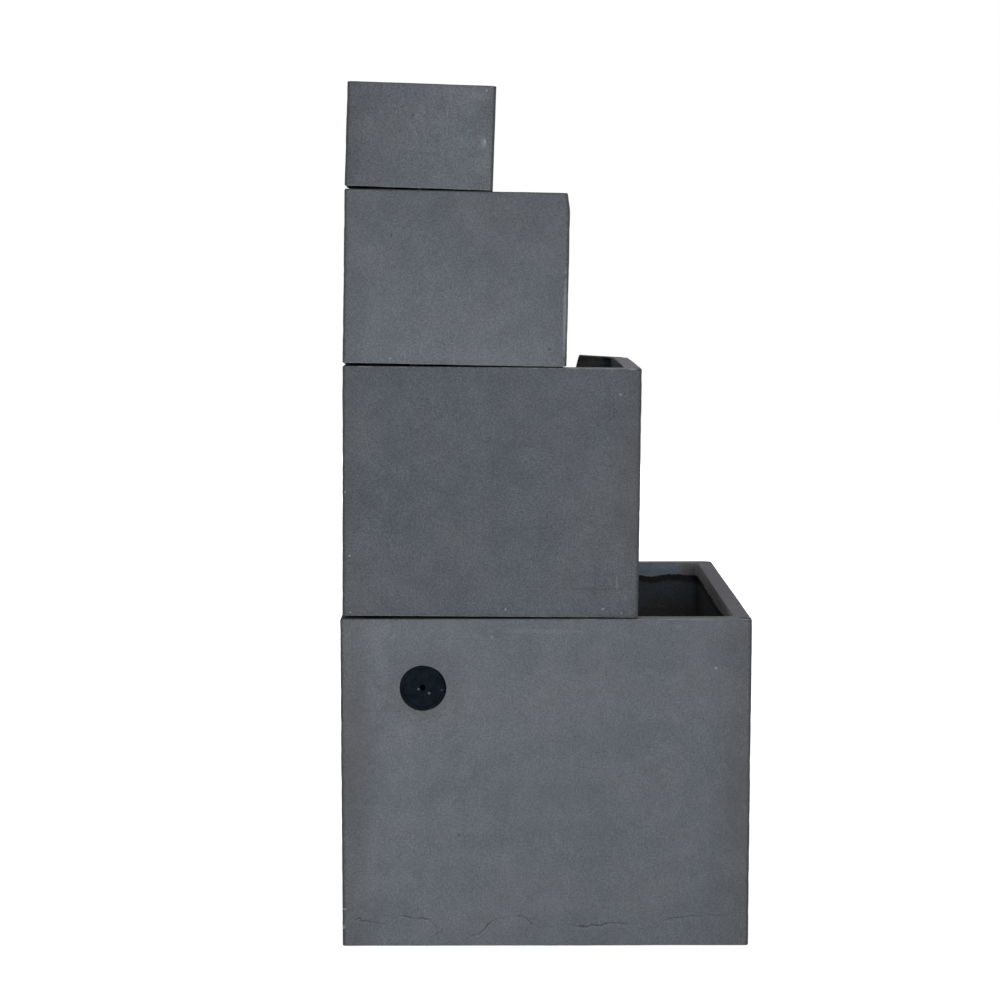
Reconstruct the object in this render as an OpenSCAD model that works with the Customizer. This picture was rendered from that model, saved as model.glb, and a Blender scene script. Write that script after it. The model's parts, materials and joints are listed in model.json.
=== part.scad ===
// Tiered fountain: four square open-topped boxes of fibre cement, stacked in one corner.
// X runs to the right along the near face, Y runs away from it, Z is up. Sizes are in millimetres.
// The origin is the middle of the base's footprint, on the ground.

/* [Base] */
// Side of the square base
base_w = 476; // [450:1:520]
// Height of the base, from the ground to its rim
base_h = 388; // [340:1:430]
// Thickness of the base's walls
base_wall = 21; // [17:0.5:24]
// Thickness of the base's floor
base_floor = 24; // [18:1:32]
// Thickness of the upright panels that carry tier three
base_seat_t = 21; // [17:0.5:26]
// Width of the water gates through those panels
gate_w = 70; // [50:1:90]
// Height of the water gates
gate_h = 60; // [46:1:80]

/* [Cable port] */
// Radius of the port through the near wall
port_r = 26; // [20:0.5:30]
// Distance of the port's centre from the left face
port_x = 95; // [80:1:120]
// Distance of the port's centre below the rim
port_drop = 81; // [60:1:110]
// Distance that the bung's face lies inside the wall's face
bung_recess = 1.6; // [0.8:0.1:3]
// Length of the bung
bung_l = 24; // [20:0.5:30]
// Depth of the dish in the bung's face
bung_dish = 1.2; // [0.6:0.1:2]
// Width of the bung's raised edge
bung_edge = 3; // [2:0.1:5]
// Radius of the bung's cable hole
cable_r = 3.4; // [2.5:0.1:4.5]

/* [Tier three] */
// Side of tier three
three_w = 342; // [325:1:360]
// Height of tier three
three_h = 288; // [250:1:330]
// Thickness of its walls
three_wall = 20; // [16:0.5:23]
// Thickness of its floor
three_floor = 16; // [12:0.5:22]
// Depth of its trough below the rim
three_basin = 85; // [60:1:110]
// Thickness of the inner walls that carry tier two
three_seat_t = 18; // [14:0.5:22]
// Distance of the spill notch from each end of the far wall
three_notch_end = 60; // [45:1:80]
// Depth of the spill notch
three_notch_h = 28; // [20:1:36]
// How far tier three leans to the right, in degrees
lean_three = 0.5; // [0.3:0.1:0.9]

/* [Tier two] */
// Side of tier two
two_w = 256; // [245:1:268]
// Height of tier two
two_h = 197; // [170:1:230]
// Thickness of its walls
two_wall = 18; // [14:0.5:21]
// Thickness of its floor
two_floor = 15; // [12:0.5:20]
// Depth of its trough below the rim
two_basin = 62; // [50:1:80]
// Thickness of the inner walls that carry the top tier
two_seat_t = 16; // [13:0.5:20]
// Distance of the spill notch from each end of the far wall
two_notch_end = 47; // [36:1:60]
// Depth of the spill notch
two_notch_h = 24; // [16:1:30]
// How far tier two leans past tier three, in degrees
lean_two = 0.6; // [0.3:0.1:0.9]

/* [Top tier] */
// Side of the top tier
top_w = 168; // [160:1:178]
// Height of the top tier
top_h = 117; // [105:1:135]
// Thickness of its walls
top_wall = 16; // [12:0.5:19]
// Thickness of its floor
top_floor = 14; // [11:0.5:18]
// Depth of its basin below the rim
top_basin = 55; // [46:1:60]
// Distance of the spill notch from each end of the far wall
top_notch_end = 34; // [28:1:42]
// Depth of the spill notch
top_notch_h = 22; // [14:1:28]
// How far the top tier leans past tier two, in degrees
lean_top = 0.9; // [0.3:0.1:1.2]

/* [Setting of the tiers] */
// Distance that tier three stands in from the base's left face
three_left = 2.4; // [1:0.1:4]
// Distance that tier three stands back from the base's near face
three_near = 3; // [1:0.1:5]
// Distance that each upper tier stands back from the near face of the one below
upper_near = 1.5; // [0.5:0.1:3]
// Height of the seam at its closed end, on the right
seam_closed = 0.6; // [0.5:0.1:1.5]
// Distance that a carrying inner wall stands in from the face above it
seat_setback = 3; // [2:0.1:5]
// Length of a setting pad
pad_l = 30; // [20:1:40]
// Width of a setting pad
pad_w = 12; // [8:0.5:14]
// Distance of a pad's middle from the end of the face above it
pad_from_end = 42; // [30:1:60]
// Gap between a pad's right end and the leaning tier that it carries
pad_gap = 0.2; // [0.1:0.05:0.3]

/* [Cement edges] */
// Radius of the worn outer edges
arris_r = 3; // [1.5:0.1:4.5]
// Radius of the upright corners inside the boxes
cast_r = 10; // [4:0.5:14]
// How far each side of a spill notch slopes, from its sill to the rim
notch_slope = 5; // [2:0.5:8]

/* [Hose] */
// Outer radius of the hose
hose_r = 9; // [8.4:0.1:9.2]
// Radius of the hose's bore
hose_bore_r = 6.5; // [6:0.1:7]
// Radius of the hose's gentle bend above the pump
hose_bend_r = 400; // [300:10:600]
// Length of the straight hose above the pump's barb, up to the bend
hose_rise = 60; // [40:1:90]
// Radius of the holes in the floors of tiers two and three
hose_hole_r = 14; // [13:0.1:17]
// Radial clearance of the hose in its grommets
grommet_gap = 0.7; // [0.6:0.05:1]
// Radius of a grommet's two lips
grommet_lip_r = 18; // [16:0.5:21]
// Thickness of a grommet's lip
grommet_lip_t = 3; // [2:0.25:4]
// Width of the hose clamp's band
clamp_w = 9; // [7:0.5:12]
// Thickness of the clamp's band
clamp_t = 0.8; // [0.6:0.1:1.2]
// Side of the clamp's screw housing
clamp_box = 9; // [8:0.5:11]
// Radius of the clamp's screw
clamp_screw_r = 3; // [2.4:0.1:3.4]
// Length of the clamp's screw
clamp_screw_l = 17; // [15:0.5:20]

/* [Outlet fitting] */
// Radius of the fitting's threaded stem
stem_r = 9.8; // [9.4:0.1:10.4]
// Radius of the fitting's flange
flange_r = 17; // [15:0.5:20]
// Thickness of the fitting's flange
flange_t = 3; // [2:0.25:4]
// Clearance around the stem in the floor
stem_gap = 0.5; // [0.3:0.1:1]
// Radius of the spout above the flange
spout_r = 8; // [7:0.1:9]
// Height of the spout above the flange
spout_h = 18; // [12:1:24]
// Radius of the water way
way_r = 4.6; // [4:0.1:4.8]
// Thickness of the rubber gasket above the floor
gasket_t = 2; // [1.5:0.25:3]
// Thickness of the washer below the floor
washer_t = 1.5; // [1:0.25:2]
// Height of the nut
nut_h = 8; // [6:0.5:9]
// Radius over the nut's corners
nut_r = 15; // [14:0.5:17]
// Length of stem below the nut
stem_tail = 2; // [1:0.5:3]
// Radius of a hose barb between its ridges
barb_r = 5.8; // [5.5:0.1:5.9]
// Length of a hose barb
barb_l = 22; // [18:0.5:23]
// Number of ridges on a hose barb
ridges = 3; // [2:1:4]
// Distance between a barb's shoulder and the hose's end
hose_end_gap = 2; // [1:0.5:3]

/* [Pump] */
// Room between the pump's back and the near wall of the base
pump_back_room = 9; // [7:0.5:14]
// Width of the pump
pump_w = 58; // [56:1:64]
// Height of the pump's body
pump_h = 66; // [65:1:72]
// Height of the motor's axis above the pump's underside
axis_h = 40; // [39:0.5:42]
// Length of the motor block
motor_l = 48; // [48:1:54]
// Distance from the outlet's axis back to the motor block
outlet_back = 12; // [11:0.5:14]
// Depth of the impeller chamber's block
volute_l = 26; // [25:0.5:30]
// Length of its front rim that the cover laps
lap_l = 4.3; // [3.5:0.1:5]
// Length of the front cover
cover_l = 36; // [32:1:44]
// Thickness of the pump's shells
shell_t = 2.5; // [2:0.1:3]
// Radius of the pump's outer edges
pump_edge_r = 4; // [2:0.5:5]
// Radius of the outlet pipe
pipe_r = 9; // [8.6:0.1:9.4]
// Height of the outlet pipe
pipe_h = 12; // [10:0.5:16]
// Wall of the outlet adapter's collar
collar_t = 3; // [2:0.25:4]
// Height of the outlet adapter's collar
collar_h = 13; // [12:0.5:16]
// Depth of the pipe in the collar
collar_depth = 8; // [6:0.5:9]
// Height of a suction cup
cup_h = 9; // [7:0.5:12]
// Radius of a suction cup
cup_r = 11; // [9:0.5:12]
// Distance of the cups' middles from the ends of the pump's block
cup_in = 12.5; // [12:0.5:14]

/* [Pump's inner parts] */
// Radius of the rotor magnet
magnet_r = 11.5; // [10:0.1:11.8]
// Length of the rotor magnet
magnet_l = 30; // [26:0.5:31]
// Running gap around the magnet in its well
magnet_gap = 1; // [0.7:0.1:1.2]
// Wall of the rotor's well
well_t = 1.8; // [1.2:0.1:2]
// Gap between the magnet and the shoulder of the bush
rotor_play = 0.4; // [0.3:0.1:0.8]
// Radius of the ceramic shaft
shaft_r = 1.5; // [1.2:0.1:2]
// Radial clearance of running and pushed fits
run_fit = 0.05; // [0.02:0.01:0.08]
// Radius of the shaft's rubber bushes
bush_r = 4; // [3.5:0.1:4.5]
// Length of the shaft's rubber bushes
bush_l = 4; // [3:0.5:4.5]
// Radius of the impeller
impeller_r = 17; // [15:0.5:18]
// Gap around the impeller in its chamber
impeller_gap = 2; // [1:0.25:2.5]
// Thickness of the impeller's disc
disc_t = 2; // [1.5:0.25:2.5]
// Depth of the impeller's blades
blade_h = 9; // [7:0.5:10]
// Thickness of the impeller's blades
blade_t = 1.6; // [1.2:0.1:2]
// Number of blades
blades = 6; // [5:1:8]
// Radius of the intake opening
intake_r = 12; // [10:0.5:13]
// Radius of the hub in the intake opening
hub_r = 5.5; // [5.2:0.1:6]
// Number of intake windows, and of windows in the dial
windows = 4; // [3:1:4]
// Thickness of the flow dial
dial_t = 2; // [1.5:0.1:2.5]
// Radius of the flow dial
dial_r = 16; // [15:0.5:18]
// Height that the dial's thumb tab stands out of the cover
tab_out = 6; // [4:0.5:8]
// Width of the dial's thumb tab
tab_w = 6; // [5:0.5:8]
// Angle that the flow dial turns, in degrees
dial_turn = 40; // [30:1:40]
// Height of the stator core's limb
limb_h = 8; // [7:0.5:9]
// Length of the stator core along the motor's axis
core_l = 20; // [16:0.5:22]
// Width of the stator core
core_w = 42; // [40:1:44]
// Thickness of the coil around the limb
coil_t = 4.4; // [3.5:0.1:4.6]
// Clearance between stator parts
stator_gap = 0.3; // [0.2:0.05:0.4]
// Radius of the O-ring's section
ring_r = 1.2; // [1:0.05:1.3]
// Width of the openings in the front cover
slot_w = 4; // [3:0.25:4.5]
// Spacing of the openings in the front cover
slot_pitch = 7; // [6.5:0.25:8]
// Width of the solid margin round the cover's openings
slot_margin = 9; // [8:0.5:12]
// Radius of the pump's cable gland at its root
gland_r = 6.5; // [6:0.25:7]
// Height of the pump's cable gland
gland_h = 16; // [12:0.5:20]

/* [Hidden] */

// Facets of rounded edges, and of true round parts
edge_facets = 24;
round_facets = 96;
// Sides of the hose, and steps round its bend
hose_sides = 48;
bend_steps = 4;
$fn = round_facets;
// How far a cut runs past the face that it opens
over = 1;

// Colours of the finishes
cement = [0.36, 0.37, 0.40];
black_rubber = [0.06, 0.06, 0.07];
black_plastic = [0.10, 0.10, 0.11];
clear_hose = [0.30, 0.33, 0.34];
steel = [0.72, 0.73, 0.75];

// Gap at the left end of each seam: the tier above leans about its right foot
three_gap = seam_closed + three_w * sin(lean_three);
two_gap = seam_closed + two_w * sin(lean_two);
top_gap = seam_closed + top_w * sin(lean_top);
lean_all = lean_three + lean_two + lean_top;

// A point [x, z] of a leaning tier, seen from the frame of what carries it
function carried(p, corner, lean) =
    corner + [p[0] * cos(lean) + p[1] * sin(lean), p[1] * cos(lean) - p[0] * sin(lean)];
three_corner = [three_left, base_h + three_gap];
two_corner = [0, three_h + two_gap];
top_corner = [0, two_h + top_gap];
function top_to_three(p) = carried(carried(p, top_corner, lean_top), two_corner, lean_two);
function top_to_base(p) = carried(top_to_three(p), three_corner, lean_three);

// The hose's line leans as the top tier does, and passes half way along its floor. Seen from the
// right it stands straight over the pump's outlet.
top_mid = top_w / 2;
top_floor_z = top_h - top_basin;
stem_foot_z = top_floor_z - top_floor - washer_t - nut_h - stem_tail;
hose_top_z = stem_foot_z - hose_end_gap;
hose_top = top_to_base([top_mid, hose_top_z]);
hose_y = base_wall + pump_back_room + motor_l + outlet_back;
top_hole_y = hose_y - three_near - 2 * upper_near;
two_hole_x = carried([top_mid, 0], top_corner, lean_top)[0]
    - (two_basin + two_floor / 2 + top_gap) * tan(lean_top);
three_hole_x = top_to_three([top_mid, 0])[0]
    - (two_h + two_gap + top_gap + three_basin + three_floor / 2) * tan(lean_two + lean_top);

// Heights in the pump's frame, above the base's floor, and the hose's foot
body_z0 = cup_h;
body_z1 = cup_h + pump_h;
axis_z = cup_h + axis_h;
pipe_z1 = body_z1 + pipe_h;
collar_z0 = pipe_z1 - collar_depth;
collar_z1 = collar_z0 + collar_h;
hose_foot_z = base_floor + collar_z1;
bend_z = hose_foot_z + barb_l + hose_rise;
bend_rise = hose_bend_r * sin(lean_all);
bend_shift = hose_bend_r * (1 - cos(lean_all));
leaning_l = (hose_top[1] - bend_z - bend_rise) / cos(lean_all);
pump_x = hose_top[0] - leaning_l * sin(lean_all) - bend_shift;
clamp_z = collar_z1 + barb_l / 2 - clamp_w / 2;
clamp_r = hose_r + run_fit + clamp_t;

// Outer faces of the carrying panels and inner walls, in the frame of the box that holds them
base_seat = three_left + three_w - seat_setback;
base_seat_y = three_near + three_w - seat_setback;
three_seat = two_w - seat_setback;
three_seat_y = upper_near + two_w - seat_setback;
two_seat = top_w - seat_setback;
two_seat_y = upper_near + top_w - seat_setback;

// Places along the pump, from its outlet's axis: back is negative
volute_y0 = -outlet_back;
volute_y1 = volute_y0 + volute_l;
lap_y0 = volute_y1 - lap_l;
motor_y0 = volute_y0 - motor_l;
well_r = magnet_r + magnet_gap;
magnet_y1 = volute_y0 - disc_t;
magnet_y0 = magnet_y1 - magnet_l;
bush_y1 = magnet_y0 - rotor_play;
well_y0 = bush_y1 - bush_l;
chamber_r = impeller_r + impeller_gap;
chamber_y1 = volute_y0 + 2 * disc_t + blade_h + impeller_gap + disc_t;
front_bush_y0 = chamber_y1;
front_bush_y1 = volute_y1 - shell_t / 2;
cover_y0 = lap_y0 + stator_gap;
cover_y1 = cover_y0 + cover_l;
dial_y0 = volute_y1 + stator_gap;
dial_y1 = dial_y0 + dial_t;
core_y0 = volute_y0 - motor_l / 2 - core_l / 2;
core_bore_r = well_r + well_t + stator_gap;
limb_z1 = axis_z - core_bore_r - coil_t - 3 * stator_gap;
limb_z0 = limb_z1 - limb_h;
leg_w = (core_w - 3 * limb_h) / 2;

module from_corner() {
    translate([-base_w / 2, -base_w / 2, 0]) children();
}

module in_three() {
    from_corner() translate([three_corner[0], three_near, three_corner[1]])
        rotate([0, lean_three, 0]) children();
}

module in_two() {
    in_three() translate([two_corner[0], upper_near, two_corner[1]])
        rotate([0, lean_two, 0]) children();
}

module in_top() {
    in_two() translate([top_corner[0], upper_near, top_corner[1]])
        rotate([0, lean_top, 0]) children();
}

module at_pump() {
    from_corner() translate([pump_x, hose_y, base_floor]) children();
}

// Turns a shape drawn along Z to lie along Y, on the motor's axis
module on_axis(y) {
    translate([0, y, axis_z]) rotate([-90, 0, 0]) children();
}

module ball(r) {
    rotate_extrude($fn = edge_facets) intersection() {
        circle(r, $fn = edge_facets);
        translate([0, -r]) square([r, 2 * r]);
    }
}

// Block with its corner at the origin and all its edges rounded
module soft_block(size, r) {
    hull() for (x = [r, size[0] - r], y = [r, size[1] - r], z = [r, size[2] - r])
        translate([x, y, z]) ball(r);
}

// Upright cavity between two corners, with rounded upright edges
module cavity(low, high, z0, h) {
    translate([low[0] + cast_r, low[1] + cast_r, z0]) linear_extrude(h)
        offset(r = cast_r, $fn = edge_facets)
            square([high[0] - low[0] - 2 * cast_r, high[1] - low[1] - 2 * cast_r]);
}

// L-shaped trough between the outer walls and the carrying inner walls
module trough(w, wall, seat_x, seat_y, z0, h) {
    translate([0, 0, z0]) linear_extrude(h)
        offset(r = cast_r, $fn = edge_facets) offset(delta = -cast_r) difference() {
            translate([wall, wall]) square([w - 2 * wall, w - 2 * wall]);
            square([seat_x, seat_y]);
        }
}

// Notch with sloping sides through a far wall
module spill_notch(w, wall, end, depth, h) {
    translate([0, w + over, 0]) rotate([90, 0, 0]) linear_extrude(wall + 2 * over)
        polygon([[end + notch_slope, h - depth], [w - end - notch_slope, h - depth],
                 [w - end, h], [w - end, h + over], [end, h + over], [end, h]]);
}

// Box with a trough, a dry well inside the carrying walls, and a hollow skirt below its floor
module stepped_box(w, h, wall, floor_t, basin, seat, seat_t, end, notch, hole_x, hole_y) {
    floor_z = h - basin;
    difference() {
        soft_block([w, w, h], arris_r);
        trough(w, wall, seat[0], seat[1], floor_z, basin + over);
        cavity([wall, wall], [seat[0] - seat_t, seat[1] - seat_t], floor_z, basin + over);
        cavity([wall, wall], [w - wall, w - wall], -over, floor_z - floor_t + over);
        spill_notch(w, wall, end, notch, h);
        translate([hole_x, hole_y, floor_z - floor_t - over]) cylinder(floor_t + 2 * over, r = hose_hole_r);
    }
}

// Four pads on the rim and the carrying walls, each as thick as the seam at its right end
module pads(left, near, w, wall, seat_y, seat_t, rim_z, lean) {
    y_near = near + (wall - near) / 2;
    y_far = seat_y - seat_t / 2;
    for (x = [pad_from_end, w - pad_from_end], y = [y_near, y_far]) {
        t = seam_closed + (w - x - pad_l / 2) * tan(lean) - pad_gap;
        translate([left + x - pad_l / 2, y - pad_w / 2, rim_z]) cube([pad_l, pad_w, t]);
    }
}

module base_basin() {
    color(cement) from_corner() difference() {
        soft_block([base_w, base_w, base_h], arris_r);
        cavity([base_wall, base_wall], [base_w - base_wall, base_w - base_wall], base_floor, base_h);
        translate([port_x, -over, base_h - port_drop]) rotate([-90, 0, 0])
            cylinder(base_wall + 2 * over, r = port_r);
    }
}

// Upright panel along Y from the origin, with a water gate in the middle of its foot
module seat_panel(length) {
    difference() {
        cube([base_seat_t, length, base_h - base_floor]);
        translate([-over, length / 2 - gate_w / 2, -over])
            cube([base_seat_t + 2 * over, gate_w, gate_h + over]);
    }
}

module seat_panel_right() {
    color(cement) from_corner() translate([base_seat - base_seat_t, base_wall, base_floor])
        seat_panel(base_seat_y - base_wall);
}

module seat_panel_far() {
    color(cement) from_corner() translate([base_wall, base_seat_y, base_floor]) rotate([0, 0, -90])
        seat_panel(base_seat - base_seat_t - base_wall);
}

module cable_bung() {
    r = port_r - run_fit;
    color(black_rubber) from_corner() translate([port_x, bung_recess, base_h - port_drop])
        rotate([-90, 0, 0]) difference() {
            cylinder(bung_l, r = r);
            translate([0, 0, -over]) cylinder(bung_dish + over, r = r - bung_edge);
            translate([0, 0, -over]) cylinder(bung_l + 2 * over, r = cable_r);
        }
}

module pads_on_base() {
    color(black_rubber) from_corner()
        pads(three_left, three_near, three_w, base_wall, base_seat_y, base_seat_t, base_h, lean_three);
}

module tier_three() {
    color(cement) in_three()
        stepped_box(three_w, three_h, three_wall, three_floor, three_basin, [three_seat, three_seat_y],
                    three_seat_t, three_notch_end, three_notch_h, three_hole_x, hose_y - three_near);
}

module pads_on_three() {
    color(black_rubber) in_three()
        pads(0, upper_near, two_w, three_wall, three_seat_y, three_seat_t, three_h, lean_two);
}

module tier_two() {
    color(cement) in_two()
        stepped_box(two_w, two_h, two_wall, two_floor, two_basin, [two_seat, two_seat_y],
                    two_seat_t, two_notch_end, two_notch_h, two_hole_x, hose_y - three_near - upper_near);
}

module pads_on_two() {
    color(black_rubber) in_two()
        pads(0, upper_near, top_w, two_wall, two_seat_y, two_seat_t, two_h, lean_top);
}

module top_tier() {
    color(cement) in_top() difference() {
        soft_block([top_w, top_w, top_h], arris_r);
        cavity([top_wall, top_wall], [top_w - top_wall, top_w - top_wall], top_floor_z, top_basin + over);
        cavity([top_wall, top_wall], [top_w - top_wall, top_w - top_wall],
               -over, top_floor_z - top_floor + over);
        spill_notch(top_w, top_wall, top_notch_end, top_notch_h, top_h);
        translate([top_mid, top_hole_y, 0]) cylinder(top_h, r = stem_r + stem_gap);
    }
}

// Grommet round a hole in a floor, with its lips on both faces
module hose_grommet(floor_t) {
    difference() {
        union() {
            translate([0, 0, -grommet_lip_t]) cylinder(grommet_lip_t, r = grommet_lip_r);
            cylinder(floor_t, r = hose_hole_r);
            translate([0, 0, floor_t]) cylinder(grommet_lip_t, r = grommet_lip_r);
        }
        translate([0, 0, -grommet_lip_t - over])
            cylinder(floor_t + 2 * grommet_lip_t + 2 * over, r = hose_r + grommet_gap);
    }
}

module hose_grommet_three() {
    color(black_rubber) in_three()
        translate([three_hole_x, hose_y - three_near, three_h - three_basin - three_floor])
            hose_grommet(three_floor);
}

module hose_grommet_two() {
    color(black_rubber) in_two()
        translate([two_hole_x, hose_y - three_near - upper_near, two_h - two_basin - two_floor])
            hose_grommet(two_floor);
}

// Ridged hose barb from z = 0 up, each ridge a cone that narrows towards the tip
module barb() {
    ridge_l = barb_l / ridges;
    cylinder(barb_l, r = barb_r);
    for (k = [0 : ridges - 1])
        translate([0, 0, (k + 1 / 3) * ridge_l])
            cylinder(ridge_l * 2 / 3, r1 = hose_bore_r - run_fit, r2 = barb_r);
}

module outlet_fitting() {
    stem_l = top_floor_z + gasket_t - stem_foot_z;
    color(black_plastic) in_top() translate([top_mid, top_hole_y, 0]) difference() {
        union() {
            translate([0, 0, stem_foot_z]) cylinder(stem_l, r = stem_r);
            translate([0, 0, top_floor_z + gasket_t]) cylinder(flange_t, r = flange_r);
            translate([0, 0, top_floor_z + gasket_t + flange_t]) cylinder(spout_h, r = spout_r);
            translate([0, 0, stem_foot_z]) mirror([0, 0, 1]) barb();
        }
        translate([0, 0, stem_foot_z - barb_l - over])
            cylinder(barb_l + stem_l + flange_t + spout_h + 2 * over, r = way_r);
    }
}

// Flat ring round the fitting's stem
module stem_ring(z, t, r) {
    translate([top_mid, top_hole_y, z]) difference() {
        cylinder(t, r = r);
        translate([0, 0, -over]) cylinder(t + 2 * over, r = stem_r + run_fit);
    }
}

module outlet_gasket() {
    color(black_rubber) in_top() stem_ring(top_floor_z, gasket_t, flange_r);
}

module outlet_washer() {
    color(black_rubber) in_top() stem_ring(top_floor_z - top_floor - washer_t, washer_t, nut_r);
}

module outlet_nut() {
    color(black_plastic) in_top()
        translate([top_mid, top_hole_y, top_floor_z - top_floor - washer_t - nut_h]) difference() {
            cylinder(nut_h, r = nut_r, $fn = 6);
            translate([0, 0, -over]) cylinder(nut_h + 2 * over, r = stem_r + run_fit);
        }
}

// Stations [x, z, lean] along the hose: its foot, the gentle bend in equal steps, and its top
hose_stations = concat(
    [[pump_x, hose_foot_z, 0]],
    [for (k = [0 : bend_steps]) let (a = lean_all * k / bend_steps)
        [pump_x + hose_bend_r * (1 - cos(a)), bend_z + hose_bend_r * sin(a), a]],
    [[hose_top[0], hose_top[1], lean_all]]);

// Points of every ring at one radius, square to the route
function hose_rings(r) = [for (s = hose_stations, j = [0 : hose_sides - 1]) let (a = j * 360 / hose_sides)
    [s[0] + r * cos(a) * cos(s[2]), hose_y + r * sin(a), s[1] - r * cos(a) * sin(s[2])]];

module riser_hose() {
    last = len(hose_stations) - 1;
    inner = (last + 1) * hose_sides;
    outside = [for (i = [0 : last - 1], j = [0 : hose_sides - 1])
        let (a = i * hose_sides + j, d = i * hose_sides + (j + 1) % hose_sides)
            [a, a + hose_sides, d + hose_sides, d]];
    walls = [for (q = outside) each [[q[0], q[1], q[2]], [q[0], q[2], q[3]],
        [q[2] + inner, q[1] + inner, q[0] + inner], [q[3] + inner, q[2] + inner, q[0] + inner]]];
    ends = [for (j = [0 : hose_sides - 1]) let (k = (j + 1) % hose_sides, top = last * hose_sides)
        each [[j, k, k + inner], [j, k + inner, j + inner],
              [top + j, top + j + inner, top + k + inner], [top + j, top + k + inner, top + k]]];
    color(clear_hose) from_corner()
        polyhedron(concat(hose_rings(hose_r), hose_rings(hose_bore_r)), concat(walls, ends));
}

module hose_clamp() {
    color(steel) at_pump() translate([0, 0, clamp_z]) difference() {
        union() {
            cylinder(clamp_w, r = clamp_r);
            translate([hose_r, -clamp_box / 2, 0]) cube([clamp_box, clamp_box, clamp_w]);
        }
        translate([0, 0, -over]) cylinder(clamp_w + 2 * over, r = hose_r + run_fit);
        translate([clamp_r + clamp_box / 2, -clamp_box / 2 - over, clamp_w / 2]) rotate([-90, 0, 0])
            cylinder(clamp_box + 2 * over, r = clamp_screw_r + run_fit);
    }
}

module hose_clamp_screw() {
    head_l = (clamp_screw_l - clamp_box) / 2;
    color(steel) at_pump() translate([clamp_r + clamp_box / 2, -clamp_screw_l / 2, clamp_z + clamp_w / 2])
        rotate([-90, 0, 0]) difference() {
            union() {
                cylinder(clamp_screw_l, r = clamp_screw_r);
                cylinder(head_l, r = clamp_screw_r + clamp_t, $fn = 6);
            }
            translate([-clamp_screw_r - clamp_t, -clamp_t / 2, -over])
                cube([2 * (clamp_screw_r + clamp_t), clamp_t, clamp_t + over]);
        }
}

module pump_outlet_adapter() {
    color(black_plastic) at_pump() difference() {
        union() {
            translate([0, 0, collar_z0]) cylinder(collar_h, r = pipe_r + run_fit + collar_t);
            translate([0, 0, collar_z1]) barb();
        }
        translate([0, 0, collar_z0 - over]) cylinder(collar_depth + over, r = pipe_r + run_fit);
        translate([0, 0, collar_z0]) cylinder(collar_h + barb_l + over, r = way_r);
    }
}

module pump_housing() {
    inner_w = pump_w - 2 * shell_t;
    inner_h = pump_h - 2 * shell_t;
    color(black_plastic) at_pump() difference() {
        union() {
            difference() {
                translate([-pump_w / 2, motor_y0, body_z0])
                    soft_block([pump_w, motor_l, pump_h], pump_edge_r);
                translate([-inner_w / 2, motor_y0 - over, body_z0 + shell_t])
                    cube([inner_w, motor_l - shell_t + over, inner_h]);
            }
            on_axis(well_y0 - well_t) cylinder(volute_y0 - well_y0 + well_t, r = well_r + well_t);
        }
        on_axis(well_y0) cylinder(volute_y0 - well_y0 + over, r = well_r);
    }
}

module pump_back_plate() {
    plate_w = pump_w - 2 * shell_t - 2 * run_fit;
    plate_h = pump_h - 2 * shell_t - 2 * run_fit;
    color(black_plastic) at_pump()
        translate([-plate_w / 2, motor_y0, body_z0 + shell_t + run_fit]) cube([plate_w, shell_t, plate_h]);
}

module pump_stator_core() {
    window_w = core_w - 2 * leg_w;
    core_top = axis_z + core_bore_r + limb_h / 2;
    color(steel) at_pump() difference() {
        translate([-core_w / 2, core_y0, limb_z0]) cube([core_w, core_l, core_top - limb_z0]);
        on_axis(core_y0 - over) cylinder(core_l + 2 * over, r = core_bore_r);
        translate([-window_w / 2, core_y0 - over, limb_z1])
            cube([window_w, core_l + 2 * over, coil_t + 2 * stator_gap]);
    }
}

module pump_stator_coil() {
    coil_w = core_w - 2 * leg_w - 2 * stator_gap;
    hole_l = core_l + 2 * stator_gap;
    color("sienna") at_pump() difference() {
        translate([-coil_w / 2, core_y0 - stator_gap - coil_t, limb_z0 - stator_gap - coil_t])
            cube([coil_w, hole_l + 2 * coil_t, limb_h + 2 * stator_gap + 2 * coil_t]);
        translate([-coil_w / 2 - over, core_y0 - stator_gap, limb_z0 - stator_gap])
            cube([coil_w + 2 * over, hole_l, limb_h + 2 * stator_gap]);
    }
}

// Bush with the shaft's bore
module bush(length) {
    difference() {
        cylinder(length, r = bush_r);
        translate([0, 0, -over]) cylinder(length + 2 * over, r = shaft_r + run_fit);
    }
}

module pump_bush_rear() {
    color(black_rubber) at_pump() union() {
        on_axis(well_y0) bush(bush_l);
        on_axis(well_y0) difference() {
            cylinder(bush_l / 2, r = well_r - run_fit);
            translate([0, 0, -over]) cylinder(bush_l, r = bush_r - run_fit);
        }
    }
}

module pump_bush_front() {
    color(black_rubber) at_pump() on_axis(front_bush_y0) bush(front_bush_y1 - front_bush_y0);
}

module pump_shaft() {
    color("ivory") at_pump() on_axis(well_y0 + run_fit)
        cylinder(front_bush_y1 - well_y0 - run_fit, r = shaft_r);
}

module pump_rotor_magnet() {
    color("dimgray") at_pump() on_axis(magnet_y0) difference() {
        cylinder(magnet_l, r = magnet_r);
        translate([0, 0, -over]) cylinder(magnet_l + 2 * over, r = shaft_r + run_fit);
    }
}

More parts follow.
